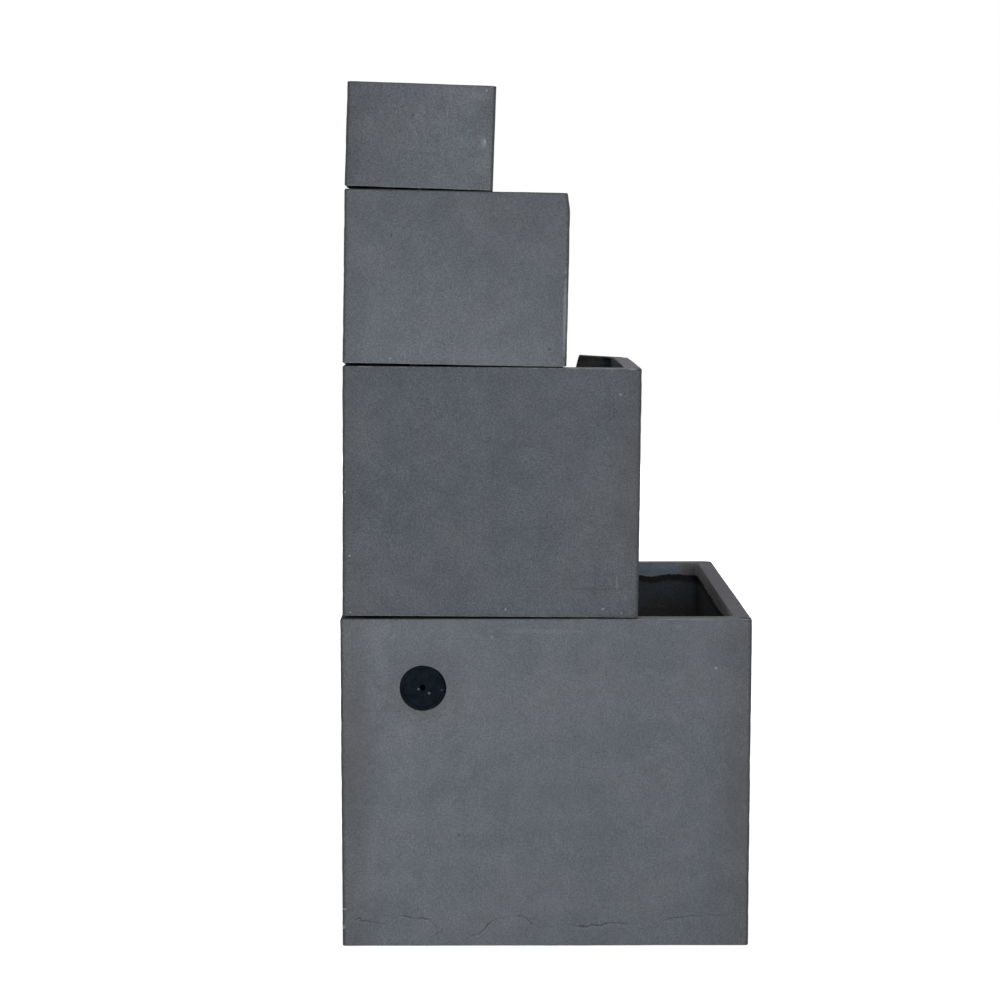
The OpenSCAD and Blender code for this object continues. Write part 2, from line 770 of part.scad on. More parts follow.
module pump_impeller() {
    stem_l = 2 * disc_t;
    color("white") at_pump() on_axis(magnet_y1) difference() {
        union() {
            cylinder(stem_l + disc_t + blade_h, r = bush_r);
            translate([0, 0, stem_l]) cylinder(disc_t, r = impeller_r);
            for (k = [0 : blades - 1]) rotate([0, 0, k * 360 / blades])
                translate([bush_r / 2, -blade_t / 2, stem_l + disc_t / 2])
                    cube([impeller_r - bush_r / 2 - blade_t, blade_t, disc_t / 2 + blade_h - blade_t / 2]);
        }
        translate([0, 0, -over])
            cylinder(stem_l + disc_t + blade_h + 2 * over, r = shaft_r + run_fit);
    }
}

module pump_volute() {
    lap_w = pump_w - 2 * shell_t - 2 * stator_gap;
    lap_h = pump_h - 2 * shell_t - 2 * stator_gap;
    ring_mid = chamber_r + 2 * ring_r;
    color(black_plastic) at_pump() difference() {
        union() {
            translate([-pump_w / 2, volute_y0, body_z0]) cube([pump_w, lap_y0 - volute_y0, pump_h]);
            translate([-lap_w / 2, lap_y0, body_z0 + shell_t + stator_gap]) cube([lap_w, lap_l, lap_h]);
            translate([0, 0, body_z1]) cylinder(pipe_h, r = pipe_r);
            on_axis(volute_y1) cylinder(stator_gap + 2 * dial_t, r = bush_r);
        }
        on_axis(volute_y0 - over) cylinder(chamber_y1 - volute_y0 + over, r = chamber_r);
        on_axis(volute_y0 - over) difference() {
            cylinder(2 * (ring_r + run_fit) + over, r = ring_mid + ring_r + run_fit);
            cylinder(2 * (ring_r + run_fit) + over, r = ring_mid - ring_r - run_fit);
        }
        on_axis(chamber_y1 - over) fan_windows(volute_y1 - chamber_y1 + 2 * over);
        on_axis(chamber_y1 - over) cylinder(front_bush_y1 - chamber_y1 + over, r = bush_r + run_fit);
        translate([0, 0, axis_z]) cylinder(pipe_z1 - axis_z + over, r = hose_bore_r);
    }
}

module pump_seal_ring() {
    color(black_rubber) at_pump() on_axis(volute_y0 + ring_r + run_fit)
        rotate_extrude() translate([chamber_r + 2 * ring_r, 0]) circle(ring_r, $fn = edge_facets);
}

// Ring of windows, each as wide as the web beside it
module fan_windows(t) {
    half = dial_r * tan(90 / windows);
    linear_extrude(t) for (k = [0 : windows - 1]) rotate([0, 0, k * 360 / windows]) intersection() {
        difference() {
            circle(intake_r);
            circle(hub_r);
        }
        polygon([[0, 0], [dial_r, -half], [dial_r, half]]);
    }
}

module pump_flow_dial() {
    tab_l = body_z1 + tab_out - axis_z;
    color("darkgray") at_pump() on_axis(dial_y0) difference() {
        union() {
            cylinder(dial_t, r = dial_r);
            rotate([0, 0, dial_turn / 2]) translate([-tab_w / 2, -tab_l, 0])
                cube([tab_w, tab_l - dial_r / 2, dial_t]);
        }
        translate([0, 0, -over]) cylinder(dial_t + 2 * over, r = bush_r + run_fit);
        translate([0, 0, -over]) fan_windows(dial_t + 2 * over);
    }
}

module pump_filter_foam() {
    foam_w = pump_w - 2 * shell_t - 2 * stator_gap;
    foam_h = pump_h - 2 * shell_t - 2 * stator_gap;
    foam_y0 = dial_y1 + dial_t;
    color("black") at_pump() translate([-foam_w / 2, foam_y0, body_z0 + shell_t + stator_gap])
        cube([foam_w, cover_y1 - shell_t - foam_y0, foam_h]);
}

// Row of slots along X, centred, for a face that is w wide
module slots(w, length, h) {
    count = floor((w - 2 * slot_margin) / slot_pitch);
    for (k = [0 : count]) translate([(k - count / 2) * slot_pitch - slot_w / 2, 0, 0])
        cube([slot_w, length, h]);
}

module pump_front_cover() {
    inner_w = pump_w - 2 * shell_t;
    inner_h = pump_h - 2 * shell_t;
    notch_r = body_z1 + tab_out - axis_z;
    notch_w = 2 * (notch_r * sin(dial_turn / 2) + tab_w);
    slot_h = pump_h - 2 * slot_margin;
    side_mid = (dial_y1 + cover_y1) / 2;
    color(black_plastic) at_pump() difference() {
        translate([-pump_w / 2, cover_y0, body_z0]) cube([pump_w, cover_l, pump_h]);
        translate([-inner_w / 2, cover_y0 - over, body_z0 + shell_t])
            cube([inner_w, cover_l - shell_t + over, inner_h]);
        translate([0, cover_y1 - shell_t - over, body_z0 + slot_margin])
            slots(pump_w, shell_t + 2 * over, slot_h);
        translate([-pump_w / 2 - over, side_mid, body_z0 + slot_margin]) rotate([0, 0, -90])
            slots(cover_l, pump_w + 2 * over, slot_h);
        translate([-notch_w / 2, cover_y0 - over, body_z1 - shell_t - over])
            cube([notch_w, dial_y1 + stator_gap - cover_y0 + over, shell_t + 2 * over]);
    }
}

// Bell-shaped cup standing on the floor
module suction_cup() {
    wall = shell_t;
    rotate_extrude() polygon([[0, cup_h], [0, cup_h / 3], [cup_r / 2, cup_h / 4], [cup_r - wall, 0],
                              [cup_r, 0], [cup_r, wall / 2], [cup_r / 2, cup_h / 2], [cup_r / 2, cup_h]]);
}

module pump_suction_cups() {
    color(black_rubber) at_pump() for (x = [cup_in - pump_w / 2, pump_w / 2 - cup_in],
                                       y = [motor_y0 + cup_in, lap_y0 - cup_in])
        translate([x, y, 0]) suction_cup();
}

module pump_cable_gland() {
    gland_y = motor_y0 + pump_edge_r + gland_r;
    color(black_rubber) at_pump() translate([pump_w / 2 - pump_edge_r - gland_r, gland_y, body_z1])
        difference() {
            cylinder(gland_h, r1 = gland_r, r2 = cable_r + shell_t / 2);
            translate([0, 0, shell_t]) cylinder(gland_h, r = cable_r);
        }
}

base_basin();
seat_panel_right();
seat_panel_far();
cable_bung();
pads_on_base();
tier_three();
hose_grommet_three();
pads_on_three();
tier_two();
hose_grommet_two();
pads_on_two();
top_tier();
outlet_fitting();
outlet_gasket();
outlet_washer();
outlet_nut();
riser_hose();
hose_clamp();
hose_clamp_screw();
pump_outlet_adapter();
pump_housing();
pump_back_plate();
pump_stator_core();
pump_stator_coil();
pump_bush_rear();
pump_bush_front();
pump_shaft();
pump_rotor_magnet();
pump_impeller();
pump_volute();
pump_seal_ring();
pump_flow_dial();
pump_filter_foam();
pump_front_cover();
pump_suction_cups();
pump_cable_gland();
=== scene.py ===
import json
import math

import bmesh
import bpy
import numpy as np
from mathutils import Matrix, Vector


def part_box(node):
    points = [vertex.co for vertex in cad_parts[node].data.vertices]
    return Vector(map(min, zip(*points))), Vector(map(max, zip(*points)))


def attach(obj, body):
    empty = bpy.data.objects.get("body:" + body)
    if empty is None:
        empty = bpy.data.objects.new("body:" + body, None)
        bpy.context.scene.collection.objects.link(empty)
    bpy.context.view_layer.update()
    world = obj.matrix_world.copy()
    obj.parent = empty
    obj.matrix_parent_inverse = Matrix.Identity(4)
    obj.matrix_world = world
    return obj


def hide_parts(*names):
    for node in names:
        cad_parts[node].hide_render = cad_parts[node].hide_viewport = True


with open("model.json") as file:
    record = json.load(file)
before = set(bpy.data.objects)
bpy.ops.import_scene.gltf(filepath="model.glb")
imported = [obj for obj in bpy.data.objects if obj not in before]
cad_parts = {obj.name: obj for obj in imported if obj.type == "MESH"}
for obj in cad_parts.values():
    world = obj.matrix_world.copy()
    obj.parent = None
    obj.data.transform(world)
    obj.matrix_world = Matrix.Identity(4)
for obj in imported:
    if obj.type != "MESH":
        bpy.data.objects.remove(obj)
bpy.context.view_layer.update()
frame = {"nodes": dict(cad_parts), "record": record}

mm = 0.001
nodes = frame["nodes"]
bodyOf = {node: body for body, members in frame["record"]["behaviour"]["bodies"].items() for node in members}
print("frame loaded:", len(nodes), "nodes")


# Node trees

class Graph:
    # the node tree of a material or a world, with short calls for the nodes used again and again
    def __init__(self, owner):
        owner.use_nodes = True
        self.owner, self.tree = owner, owner.node_tree
        self.shader = self.tree.nodes.get("Principled BSDF")

    def put(self, node, inputs):
        for socket, value in inputs.items():
            if isinstance(value, bpy.types.NodeSocket):
                self.tree.links.new(value, node.inputs[socket])
            else:
                node.inputs[socket].default_value = value

    def add(self, kind, inputs=None, **values):
        node = self.tree.nodes.new("ShaderNode" + kind)
        for key, value in values.items():
            setattr(node, key, value)
        self.put(node, inputs or {})
        return node

    def dress(self, inputs):
        self.put(self.shader, inputs)
        return self.owner

    def math(self, operation, a, b=0.0, c=0.0, clamp=False):
        return self.add("Math", {0: a, 1: b, 2: c}, operation=operation, use_clamp=clamp).outputs[0]

    def times(self, value, *others):
        for other in others:
            value = self.math("MULTIPLY", value, other)
        return value

    def plus(self, a, b):
        return self.math("ADD", a, b)

    def less(self, a, b):
        return self.math("SUBTRACT", a, b)

    def swing(self, noise, width):
        # a noise that lies about 0.5, moved to lie about zero and widened
        return self.times(self.less(noise, 0.5), width)

    def vector(self, operation, a, b=(0, 0, 0)):
        node = self.add("VectorMath", {0: a, 1: b}, operation=operation)
        return node.outputs["Value" if operation in ("LENGTH", "DISTANCE") else "Vector"]

    def attribute(self, name, output="Fac"):
        return self.add("Attribute", attribute_name=name).outputs[output]

    def objectPlace(self):
        return self.add("TexCoord").outputs["Object"]

    def cameraRay(self):
        return self.add("LightPath").outputs["Is Camera Ray"]

    def axes(self, place):
        return list(self.add("SeparateXYZ", {0: place}).outputs)

    def noise(self, place, scale, detail=3.0, rough=0.55, distortion=0.0):
        return self.add("TexNoise", {"Vector": place, "Scale": scale, "Detail": detail, "Roughness": rough,
                                     "Distortion": distortion}).outputs["Fac"]

    def cells(self, place, scale):
        return self.add("TexVoronoi", {"Vector": place, "Scale": scale}).outputs["Distance"]

    def span(self, value, low, high, to=(0.0, 1.0), smooth=True):
        return self.add("MapRange", {"Value": value, "From Min": low, "From Max": high, "To Min": to[0],
                                     "To Max": to[1]},
                        interpolation_type="SMOOTHSTEP" if smooth else "LINEAR").outputs["Result"]

    def mix(self, share, a, b, blend="MIX"):
        a, b = (v if isinstance(v, bpy.types.NodeSocket) else (*v, 1) for v in (a, b))
        return self.add("Mix", {0: share, 6: a, 7: b}, data_type="RGBA", blend_type=blend).outputs[2]

    def over(self, under, colour, *shares):
        # a colour laid over another, by the product of these shares
        return self.mix(self.times(*shares), under, colour)

    def tint(self, colour, factor):
        grey = self.add("CombineColor", {k: factor for k in range(3)}).outputs[0]
        return self.mix(1.0, colour, grey, "MULTIPLY")

    def blend(self, share, a, b):
        return self.add("Mix", {0: share, 2: a, 3: b}, data_type="FLOAT").outputs[0]

    def curve(self, value, points):
        # a smooth curve through (place, height) points, both from 0 to 1
        node = self.add("FloatCurve")
        line = node.mapping.curves[0]
        line.points[0].location, line.points[-1].location = points[0], points[-1]
        for point in points[1:-1]:
            line.points.new(*point)
        node.mapping.update()
        self.put(node, {"Value": value})
        return self.math("ADD", node.outputs[0], clamp=True)

    def bump(self, height, distance, strength, under=None):
        inputs = {"Height": height, "Distance": distance, "Strength": strength}
        return self.add("Bump", inputs if under is None else {**inputs, "Normal": under}).outputs[0]


# Camera, light and floor

studio = {
    "lens": 80.2,
    "eye": (-0.0699, -2.7729, 0.8157),
    "pitch": 6.516,      # degrees below level
    "yaw": 0.373,        # degrees towards +X
    "sky": ((0.96, 0.98, 1.0, 1), 0.42),     # what lights the object from all round: colour, strength
    "backdrop": ((1, 1, 1, 1), 1.0),         # what the camera sees behind it
    "lamps": [                               # name, place, target, size, watts
        ("front", (0.4, -5.0, 1.6), (0, 0, 0.5), (4.0, 3.0), 105),
        ("key", (-1.5, -2.3, 2.5), (0, 0, 0.55), (1.8, 1.8), 12),
        ("fill", (2.1, -1.7, 1.2), (0, 0, 0.45), (1.4, 1.8), 4),
        ("top", (0.4, 0.5, 2.8), (0, 0, 0.4), (1.6, 1.6), 16)],
    "floor": (0.88, 0.88, 0.88, 1),
    "reach": 7, "drop": 0.0002,              # the floor's radius, and how far it lies below the object
    "glow": (0.34, 0.75),                    # light that the floor gives off near the object and far from it
    "near": 0.5, "far": 2.2,                 # where the glow begins and ends to grow
    "whiter": 0.32,                          # how much more of it the camera sees
}


def shown(name, data):
    thing = bpy.data.objects.new(name, data)
    bpy.context.scene.collection.objects.link(thing)
    return thing


def makeCamera():
    camera = shown("camera", bpy.data.cameras.new("camera"))
    camera.data.sensor_width = 36
    camera.data.lens = studio["lens"]
    camera.data.clip_start = 0.05
    camera.data.clip_end = 60
    camera.location = studio["eye"]
    camera.rotation_mode = "XYZ"
    camera.rotation_euler = (math.radians(90 - studio["pitch"]), 0, -math.radians(studio["yaw"]))
    bpy.context.scene.camera = camera


def makeLight():
    world = bpy.data.worlds.new("studio")
    bpy.context.scene.world = world
    g = Graph(world)
    g.tree.nodes.clear()
    lit, seen = (g.add("Background", {"Color": colour, "Strength": strength}).outputs[0]
                 for colour, strength in (studio["sky"], studio["backdrop"]))
    mixed = g.add("MixShader", {"Fac": g.cameraRay(), 1: lit, 2: seen})
    g.add("OutputWorld", {"Surface": mixed.outputs[0]})
    for name, place, target, size, watts in studio["lamps"]:
        light = bpy.data.lights.new(name, "AREA")
        light.shape = "RECTANGLE"
        light.size, light.size_y = size
        light.energy = watts
        lamp = shown(name, light)
        lamp.location = place
        lamp.rotation_euler = (Vector(target) - Vector(place)).to_track_quat("-Z", "Y").to_euler()
    bpy.context.scene.view_settings.view_transform = "Standard"
    bpy.context.scene.view_settings.look = "None"


def makeFloor():
    # one round face; it glows more the farther it lies from the object
    sides, reach = 96, studio["reach"]
    turn = np.linspace(0, 2 * np.pi, sides, endpoint=False)
    ring = np.stack([reach * np.cos(turn), reach * np.sin(turn), np.full(sides, -studio["drop"])], 1)
    mesh = bpy.data.meshes.new("floor")
    mesh.from_pydata(ring.tolist(), [], [list(range(sides))])
    g = Graph(bpy.data.materials.new("paleFloor"))
    glow = g.span(g.vector("LENGTH", g.objectPlace()), studio["near"], studio["far"], studio["glow"])
    mesh.materials.append(g.dress({
        "Base Color": studio["floor"], "Roughness": 0.8, "Specular IOR Level": 0.2, "Emission Color": (1, 1, 1, 1),
        "Emission Strength": g.math("MULTIPLY_ADD", g.cameraRay(), studio["whiter"], glow)}))
    floor = shown("floor", mesh)


makeCamera()
makeLight()
makeFloor()
print("camera, light and floor made")


# Cement

cement = {
    "cool": (0.1022, 0.1133, 0.1315),    # bluish grey ground
    "warm": (0.1052, 0.1128, 0.1245),    # slightly warmer patches in it
    "dirt": (0.072, 0.070, 0.071),       # brownish grey: painted shade near the upright edges, a darker ring round the port, and dirt marks
    "worn": (0.215, 0.225, 0.235),       # rubbed arrises and light specks, and the painted highlight under the crack
    # pits and cracks, and the painted shade of hidden faces and arrises
    "pit": (0.036, 0.038, 0.043),
    # the rims' tone, lighter than the faces: painted light on their tops
    "rim": (0.104, 0.102, 0.108),
    "coat": (0.0330, 0.0315, 0.0340),    # black waterproof coat
    "coatBrown": (0.062, 0.054, 0.048),
    # painted sheen: a bluish reflection on the black coat
    "coatPaintedSheen": (0.034, 0.042, 0.054),
    "rough": (0.86, 0.97),
    "coatRough": (0.42, 0.66),
    "shine": 0.22,
    # noises of about 110, 30, 6 and 2 mm: scale, detail, roughness, distortion
    "noises": ((9, 4, 0.6), (34, 4, 0.62, 0.4), (170, 5, 0.65), (470, 4, 0.8)),
    "shares": (0.12, 0.085, 0.45),       # how much the last three change the tone
    "flecks": (210, 60),                 # scale of the cells, scale of the noise that thins them out
    "holes": (120, 27),
    "holesFrom": (0.37, 0.11, 0.23),     # so that the holes don't lie where the flecks do
    "edgeShadeWave": 0.10, "haloWave": 0.03, "stripWave": 0.04, "markWave": 1.6,
    "coatWave": 0.014, "coatEdge": (-0.0006, 0.0008), "coatDark": (0.006, 0.012),
    "crackWave": 0.010, "crackWidth": (0.0011, 0.0003), "crackDeep": 0.004,
    "relief": 0.0004, "swell": 0.0012,   # metres
}


def cementMaterial(name, look):
    # Base colour: two close greys mottled by slow noise, times the three finer noises, and times painted light and
    # shade: a rise from the foot to the rim and another from left to right. Then painted shade near the upright
    # edges (and a darker ring round the port), the rims' tone lightened as painted light on their tops, dark arrises
    # and hidden seam faces in painted shade, rubbed arrises, flecks, pits, this box's own marks, and its crack with
    # a painted highlight below it. The bare strip inside the rim takes lighter copies of the cement as painted
    # light.
    # The black coat lies over it where the coat attribute, a distance in metres, is above a brushed, wavy edge, with
    # bluish patches of painted sheen, and it is darkest along that edge.
    g = Graph(bpy.data.materials.new(name))
    place = g.attribute("place", "Vector")
    x, y, z = g.axes(place)
    grain = g.vector("ADD", place, look["offset"])
    slow, patch, fine, sand = (g.noise(grain, *noise) for noise in cement["noises"])
    level = g.span(slow, 0.3, 0.7, (0.94, 1.06))
    for value, share in zip((patch, fine, sand), cement["shares"]):
        share *= look["grain"]
        level = g.times(level, g.span(value, 0.25, 0.75, (1 - share, 1 + share), False))
    side, high = look["size"]
    # painted light and shade: rise and across make the box lighter or darker from the foot to the rim and from left
    # to right
    level = g.times(level, g.span(z, 0, high, look["rise"]), g.span(x, 0, side, look["across"]), look["tone"])
    colour = g.tint(g.mix(g.span(slow, 0.36, 0.64), cement["cool"], cement["warm"]), level)

    # painted shade: darker towards the upright edges; on the base also a darker ring round the port
    inset = g.math("MAXIMUM", *(g.math("MINIMUM", v, g.less(side, v)) for v in (x, y)))
    width, share = look["edge"]
    edgeShadeAndRing = g.times(g.span(g.plus(inset, g.swing(slow, cement["edgeShadeWave"])), width, 0.0), share)
    if "halo" in look:
        cx, cz, inner, outer, share = look["halo"]
        ring = g.plus(g.vector("DISTANCE", place, (cx, 0, cz)), g.swing(patch, cement["haloWave"]))
        edgeShadeAndRing = g.math("MAXIMUM", edgeShadeAndRing, g.times(g.span(ring, outer, inner), share))
    colour = g.mix(edgeShadeAndRing, colour, g.tint(cement["dirt"], level))
    # painted light: the rims' tops take a lighter copy of the cement
    colour = g.over(colour, g.tint(g.tint(cement["rim"], level), look["rim"]), g.attribute("rim"), 0.85)

    # painted shade: the faces hidden in the seams and the arrises turned from the light take the pit colour
    ground = g.swing(fine, 1.3)
    dark = g.span(g.plus(g.attribute("dirt"), ground), 0.35, 0.8)
    colour = g.over(colour, cement["pit"], dark, look["outline"])
    rubbed = g.span(g.plus(g.attribute("wear"), ground), 0.55, 0.95)
    colour = g.over(colour, cement["worn"], rubbed, look["worn"])
    cells, thinning = cement["flecks"]
    few = g.span(g.noise(grain, thinning, 2), 0.62, 0.70)
    colour = g.over(colour, cement["worn"], g.span(g.cells(grain, cells), 0.16, 0.07), few, 0.5)
    cells, thinning = cement["holes"]
    hole = g.span(g.cells(g.vector("ADD", grain, cement["holesFrom"]), cells), 0.13, 0.05)
    pits = g.times(hole, g.span(g.noise(grain, thinning, 2), 0.60, 0.68))
    colour = g.over(colour, cement["pit"], pits, 0.6)
    relief = g.less(g.plus(g.times(sand, 0.5), g.times(fine, 0.8)), g.times(pits, 1.4))

    for cx, cz, wide, tall, share, shade in look["marks"]:   # specks, pits, scuffs and stains, and patches of painted shade near the edges
        away = g.vector("MULTIPLY", g.vector("SUBTRACT", place, (cx, 0, cz)), (1 / wide, 100, 1 / tall))
        away = g.plus(g.vector("LENGTH", away), g.swing(fine, cement["markWave"]))
        spot = g.times(g.span(away, 1.25, 0.35), share)
        colour = g.mix(spot, colour, cement[shade])
        if shade == "pit":
            relief = g.less(relief, spot)

    if "crack" in look:
        crack = look["crack"]
        along = g.math("DIVIDE", x, side)
        height = g.curve(along, [(px / side, pz / crack["height"]) for px, pz in crack["points"]])
        clear = g.curve(along, [(px / side, share) for px, share in crack["clear"]])
        shake = g.plus(g.swing(g.noise(grain, 90, 4, 0.7), cement["crackWave"]),
                       g.swing(fine, cement["crackWave"] / 2))
        above = g.less(g.plus(z, shake), g.times(height, crack["height"]))
        near = g.times(g.span(y, cement["crackDeep"], cement["crackDeep"] / 4), clear)
        broken = g.span(g.noise(grain, 30, 3), 0.38, 0.52, (0.6, 1))
        hair = g.times(g.span(g.math("ABSOLUTE", above), *cement["crackWidth"]), near, broken)
        colour = g.over(colour, cement["pit"], hair, crack["share"])
        # painted highlight: a pale band along the crack's lower lip
        lip = g.times(g.span(above, 0, -0.0012), g.span(above, -0.006, -0.002))
        colour = g.over(colour, cement["worn"], lip, near, 0.10)
        relief = g.less(relief, g.times(hair, 1.2))

    if "strip" in look:                              # the bare strip inside the rim, over the coat, in lighter copies of the cement as painted light
        bluish, brown, right, turnsAt = look["strip"]
        wavy = g.plus(x, g.swing(patch, cement["stripWave"]))
        bare = g.mix(g.span(wavy, turnsAt - 0.01, turnsAt + 0.01), bluish, brown)
        bare = g.mix(g.span(x, side - 0.0255, side - 0.0225), bare, right)
        colour = g.mix(g.attribute("inner"), colour, g.tint(bare, level))

    edge = g.swing(g.noise(g.vector("MULTIPLY", grain, (1, 1, 0.35)), 34, 3, 0.55), cement["coatWave"])
    inCoat = g.plus(g.attribute("coat"), edge)
    coat = g.span(inCoat, *cement["coatEdge"])
    stroke = g.noise(g.vector("MULTIPLY", grain, (1, 1, 5)), 45, 5, 0.7)
    black = g.mix(g.span(stroke, 0.50, 0.72), cement["coat"], cement["coatBrown"])
    # painted sheen: bluish patches on the black coat stand for its reflection
    black = g.mix(g.span(g.noise(grain, 14, 3), 0.52, 0.66), black, cement["coatPaintedSheen"])
    black = g.tint(black, g.times(g.span(sand, 0.25, 0.75, (0.2, 1.8), False), look["coat"]))
    black = g.tint(black, g.span(inCoat, *cement["coatDark"], (0.1, 1)))
    rough, coatRough = g.span(patch, 0.3, 0.7, cement["rough"]), g.span(stroke, 0.3, 0.7, cement["coatRough"])
    swell = g.bump(g.blend(coat, slow, stroke), cement["swell"], 0.5)
    return g.dress({"Base Color": g.mix(coat, colour, black), "Roughness": g.blend(coat, rough, coatRough),
                    "Specular IOR Level": cement["shine"],
                    "Normal": g.bump(relief, cement["relief"], 0.9, swell)})


# Arrays, grids and meshes

def unit(value):
    return np.clip(value, 0, 1)


def slowWaves(points, wavelength, seed):
    # smooth noise from -1 to 1: a sum of sines along seeded directions, of about one wavelength
    count, rng = 9, np.random.default_rng(seed)
    ways = rng.normal(size=(count, 3))
    ways /= np.linalg.norm(ways, axis=1)[:, None]
    ways *= (2 * np.pi / wavelength) * rng.uniform(0.7, 1.4, (count, 1))
    return np.sin(points @ ways.T + rng.uniform(0, 2 * np.pi, count)).sum(1) / math.sqrt(count) / 1.3


def gridQuads(rows, columns, wrapRows, wrapColumns, first=0):
    # corner indices of each cell of a grid whose points are stored row by row
    r = np.arange(rows if wrapRows else rows - 1)[:, None]
    c = np.arange(columns if wrapColumns else columns - 1)[None, :]
    below, above = r * columns, ((r + 1) % rows) * columns
    left, right = c, (c + 1) % columns
    quads = np.stack([below + left, below + right, above + right, above + left], -1)
    return (quads.reshape(-1, 4) + first).tolist()


def gridNormals(points, wrapColumns=True):
    # unit normals of a grid of points whose rows close, from the differences between its neighbours
    down = np.roll(points, -1, 0) - np.roll(points, 1, 0)
    along = np.roll(points, -1, 1) - np.roll(points, 1, 1)
    if not wrapColumns:
        along[:, 0], along[:, -1] = points[:, 1] - points[:, 0], points[:, -1] - points[:, -2]
    normal = np.cross(along, down)
    return normal / np.maximum(np.linalg.norm(normal, axis=2, keepdims=True), 1e-12)


def nameOf(node):
    # pieces are named after their nodes, in camelCase
    first, *others = node.split("_")
    return first + "".join(word.capitalize() for word in others)


def newPiece(node, mesh, material, crease):
    # a mesh as the piece that takes the node's place and rides its body
    mesh.name = nameOf(node)
    mesh.materials.clear()
    mesh.materials.append(material)
    mesh.shade_smooth()
    mesh.set_sharp_from_angle(angle=math.radians(crease))
    piece = shown(mesh.name, mesh)
    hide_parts(node)
    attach(piece, bodyOf[node])
    return piece


def meshPiece(node, points, faces, material, slot, attributes=None, crease=40):
    mesh = bpy.data.meshes.new(nameOf(node))
    mesh.from_pydata(np.asarray(points).tolist(), [], [list(f) for f in faces])
    for key, values in (attributes or {}).items():
        values = np.asarray(values, np.float32)
        kind, field = ("FLOAT_VECTOR", "vector") if values.ndim == 2 else ("FLOAT", "value")
        mesh.attributes.new(key, kind, "POINT").data.foreach_set(field, values.ravel())
    newPiece(node, mesh, material, crease)


def cementPiece(node, stand, part, material):
    # a cement part in its box's frame and in millimetres; its attributes tell the material where each point lies
    local = part["points"] * mm
    values = {key: part[key] for key in ("wear", "coat", "dirt", "rim", "inner") if key in part}
    meshPiece(node, moved(local, stand), part["faces"], material, "cement", {"place": local, **values}, 50)


def moved(points, matrix):
    turn = np.array(matrix)
    return points @ turn[:3, :3].T + turn[:3, 3]


def dents(points, depth, wavelength, seed):
    # smooth dents, from nought to twice this depth
    return depth * (1 + slowWaves(points, wavelength, seed))


def pairs(x, y):
    return np.stack(np.broadcast_arrays(x, y), 1)


def shifted(matrix, offset):
    # a frame moved by an offset in millimetres
    return matrix @ Matrix.Translation(Vector(offset) * mm)


def spread(breaks, step):
    # places along a side: every break is kept, with even steps no longer than step between them
    parts = [np.linspace(a, b, max(1, math.ceil((b - a) / step)), endpoint=False)
             for a, b in zip(breaks[:-1], breaks[1:])]
    return np.append(np.concatenate(parts), breaks[-1])


# The four cement boxes

def leaning(parent, offset, degrees):
    # the frame of a tier that leans by turning about Y where it stands in its parent's frame
    return shifted(parent, offset) @ Matrix.Rotation(math.radians(degrees), 4, "Y")


def lifted(height, side, degrees, pad=0.6):
    # how high a leaning tier's foot stands: the rim below, the pad, and what its left edge is raised by
    return height + pad + side * math.sin(math.radians(degrees))


corner = Matrix.Translation((-0.238, -0.238, 0))
inThree = leaning(corner, (2.4, 3, lifted(388, 342, 0.5)), 0.5)
inTwo = leaning(inThree, (0, 1.5, lifted(288, 256, 0.6)), 0.6)
inTop = leaning(inTwo, (0, 1.5, lifted(197, 168, 0.9)), 0.9)

# Sizes in millimetres, as the solids have them. port: x, z, radius, half of the block round it. seat: the outer
# faces of the inner walls. notch: distance from the ends, depth. hole: x, y, radius. worn: how much the rim's
# outer arris is rubbed pale, and how much it is darkened with painted shade and some grime. wornFar: where it
# starts, loss at once, loss at the end.
baseBasin = {
    "node": "base_basin", "frame": corner, "seed": 11, "side": 476, "height": 388, "wall": 21, "floorTop": 24,
    "floorFoot": 0.2, "step": 6.5, "seatThick": 21, "gate": (70, 60), "port": (95, 307, 26, 40), "coatTop": 17,
    "worn": (0.68, 0.0), "carries": 343, "ridge": 0,
}
tierThree = {
    "node": "tier_three", "frame": inThree, "seed": 23, "side": 342, "height": 288, "wall": 20, "floorTop": 203,
    "floorFoot": 187, "step": 5.5, "seat": (253, 254.5), "seatThick": 18, "notch": (60, 28), "lap": 43,
    "hole": (78.303, 87, 14), "coatTop": 1, "wornFar": (276, 0.8, 3.2), "worn": (0.74, 0.2), "carries": 255,
    "ridge": 0,
}
tierTwo = {
    "node": "tier_two", "frame": inTwo, "seed": 37, "side": 256, "height": 197, "wall": 18, "floorTop": 135,
    "floorFoot": 120, "step": 5, "seat": (165, 166.5), "seatThick": 16, "notch": (47, 24), "lap": 33,
    "hole": (82.847, 85.5, 14), "coatTop": 3, "cutCorner": (3.4, 19), "worn": (0.15, 1.0), "carries": 167,
    "ridge": 2.3,
}
topTier = {
    "node": "top_tier", "frame": inTop, "seed": 41, "side": 168, "height": 117, "wall": 16, "floorTop": 62,
    "floorFoot": 48, "step": 4, "notch": (34, 22), "lap": 33, "hole": (84, 84, 10.3), "coatTop": 3,
    "worn": (0.15, 1.0), "carries": 0, "ridge": 2.3,
}
arris, topArris, footArris, innerRound, rimRound = 3.0, 1.8, 1.2, 10.0, 1.4
coated, bare = 40.0, -40.0                           # far inside and far outside the edge of the coat

# How the cast cement is worn, in mm: dents (depth, wavelength); rubbed and chipped arrises (wavelengths, depth);
# the port's uneven edge (depth, waves round it, their start)
wearing = {"wall": ((0.11, 150), (0.07, 38)), "carried": (0.3, 90), "floor": (0.35, 70), "rubWave": 17, "rub": 0.55,
           "chipWaves": (11, 40), "chip": 1.7, "port": ((0.25, 3, 0.6), (0.18, 7, 2.0), (0.12, 12, 0))}


def quarter(count):
    # the inner steps of a quarter turn
    return np.radians(np.linspace(0, 90, count))[1:-1]


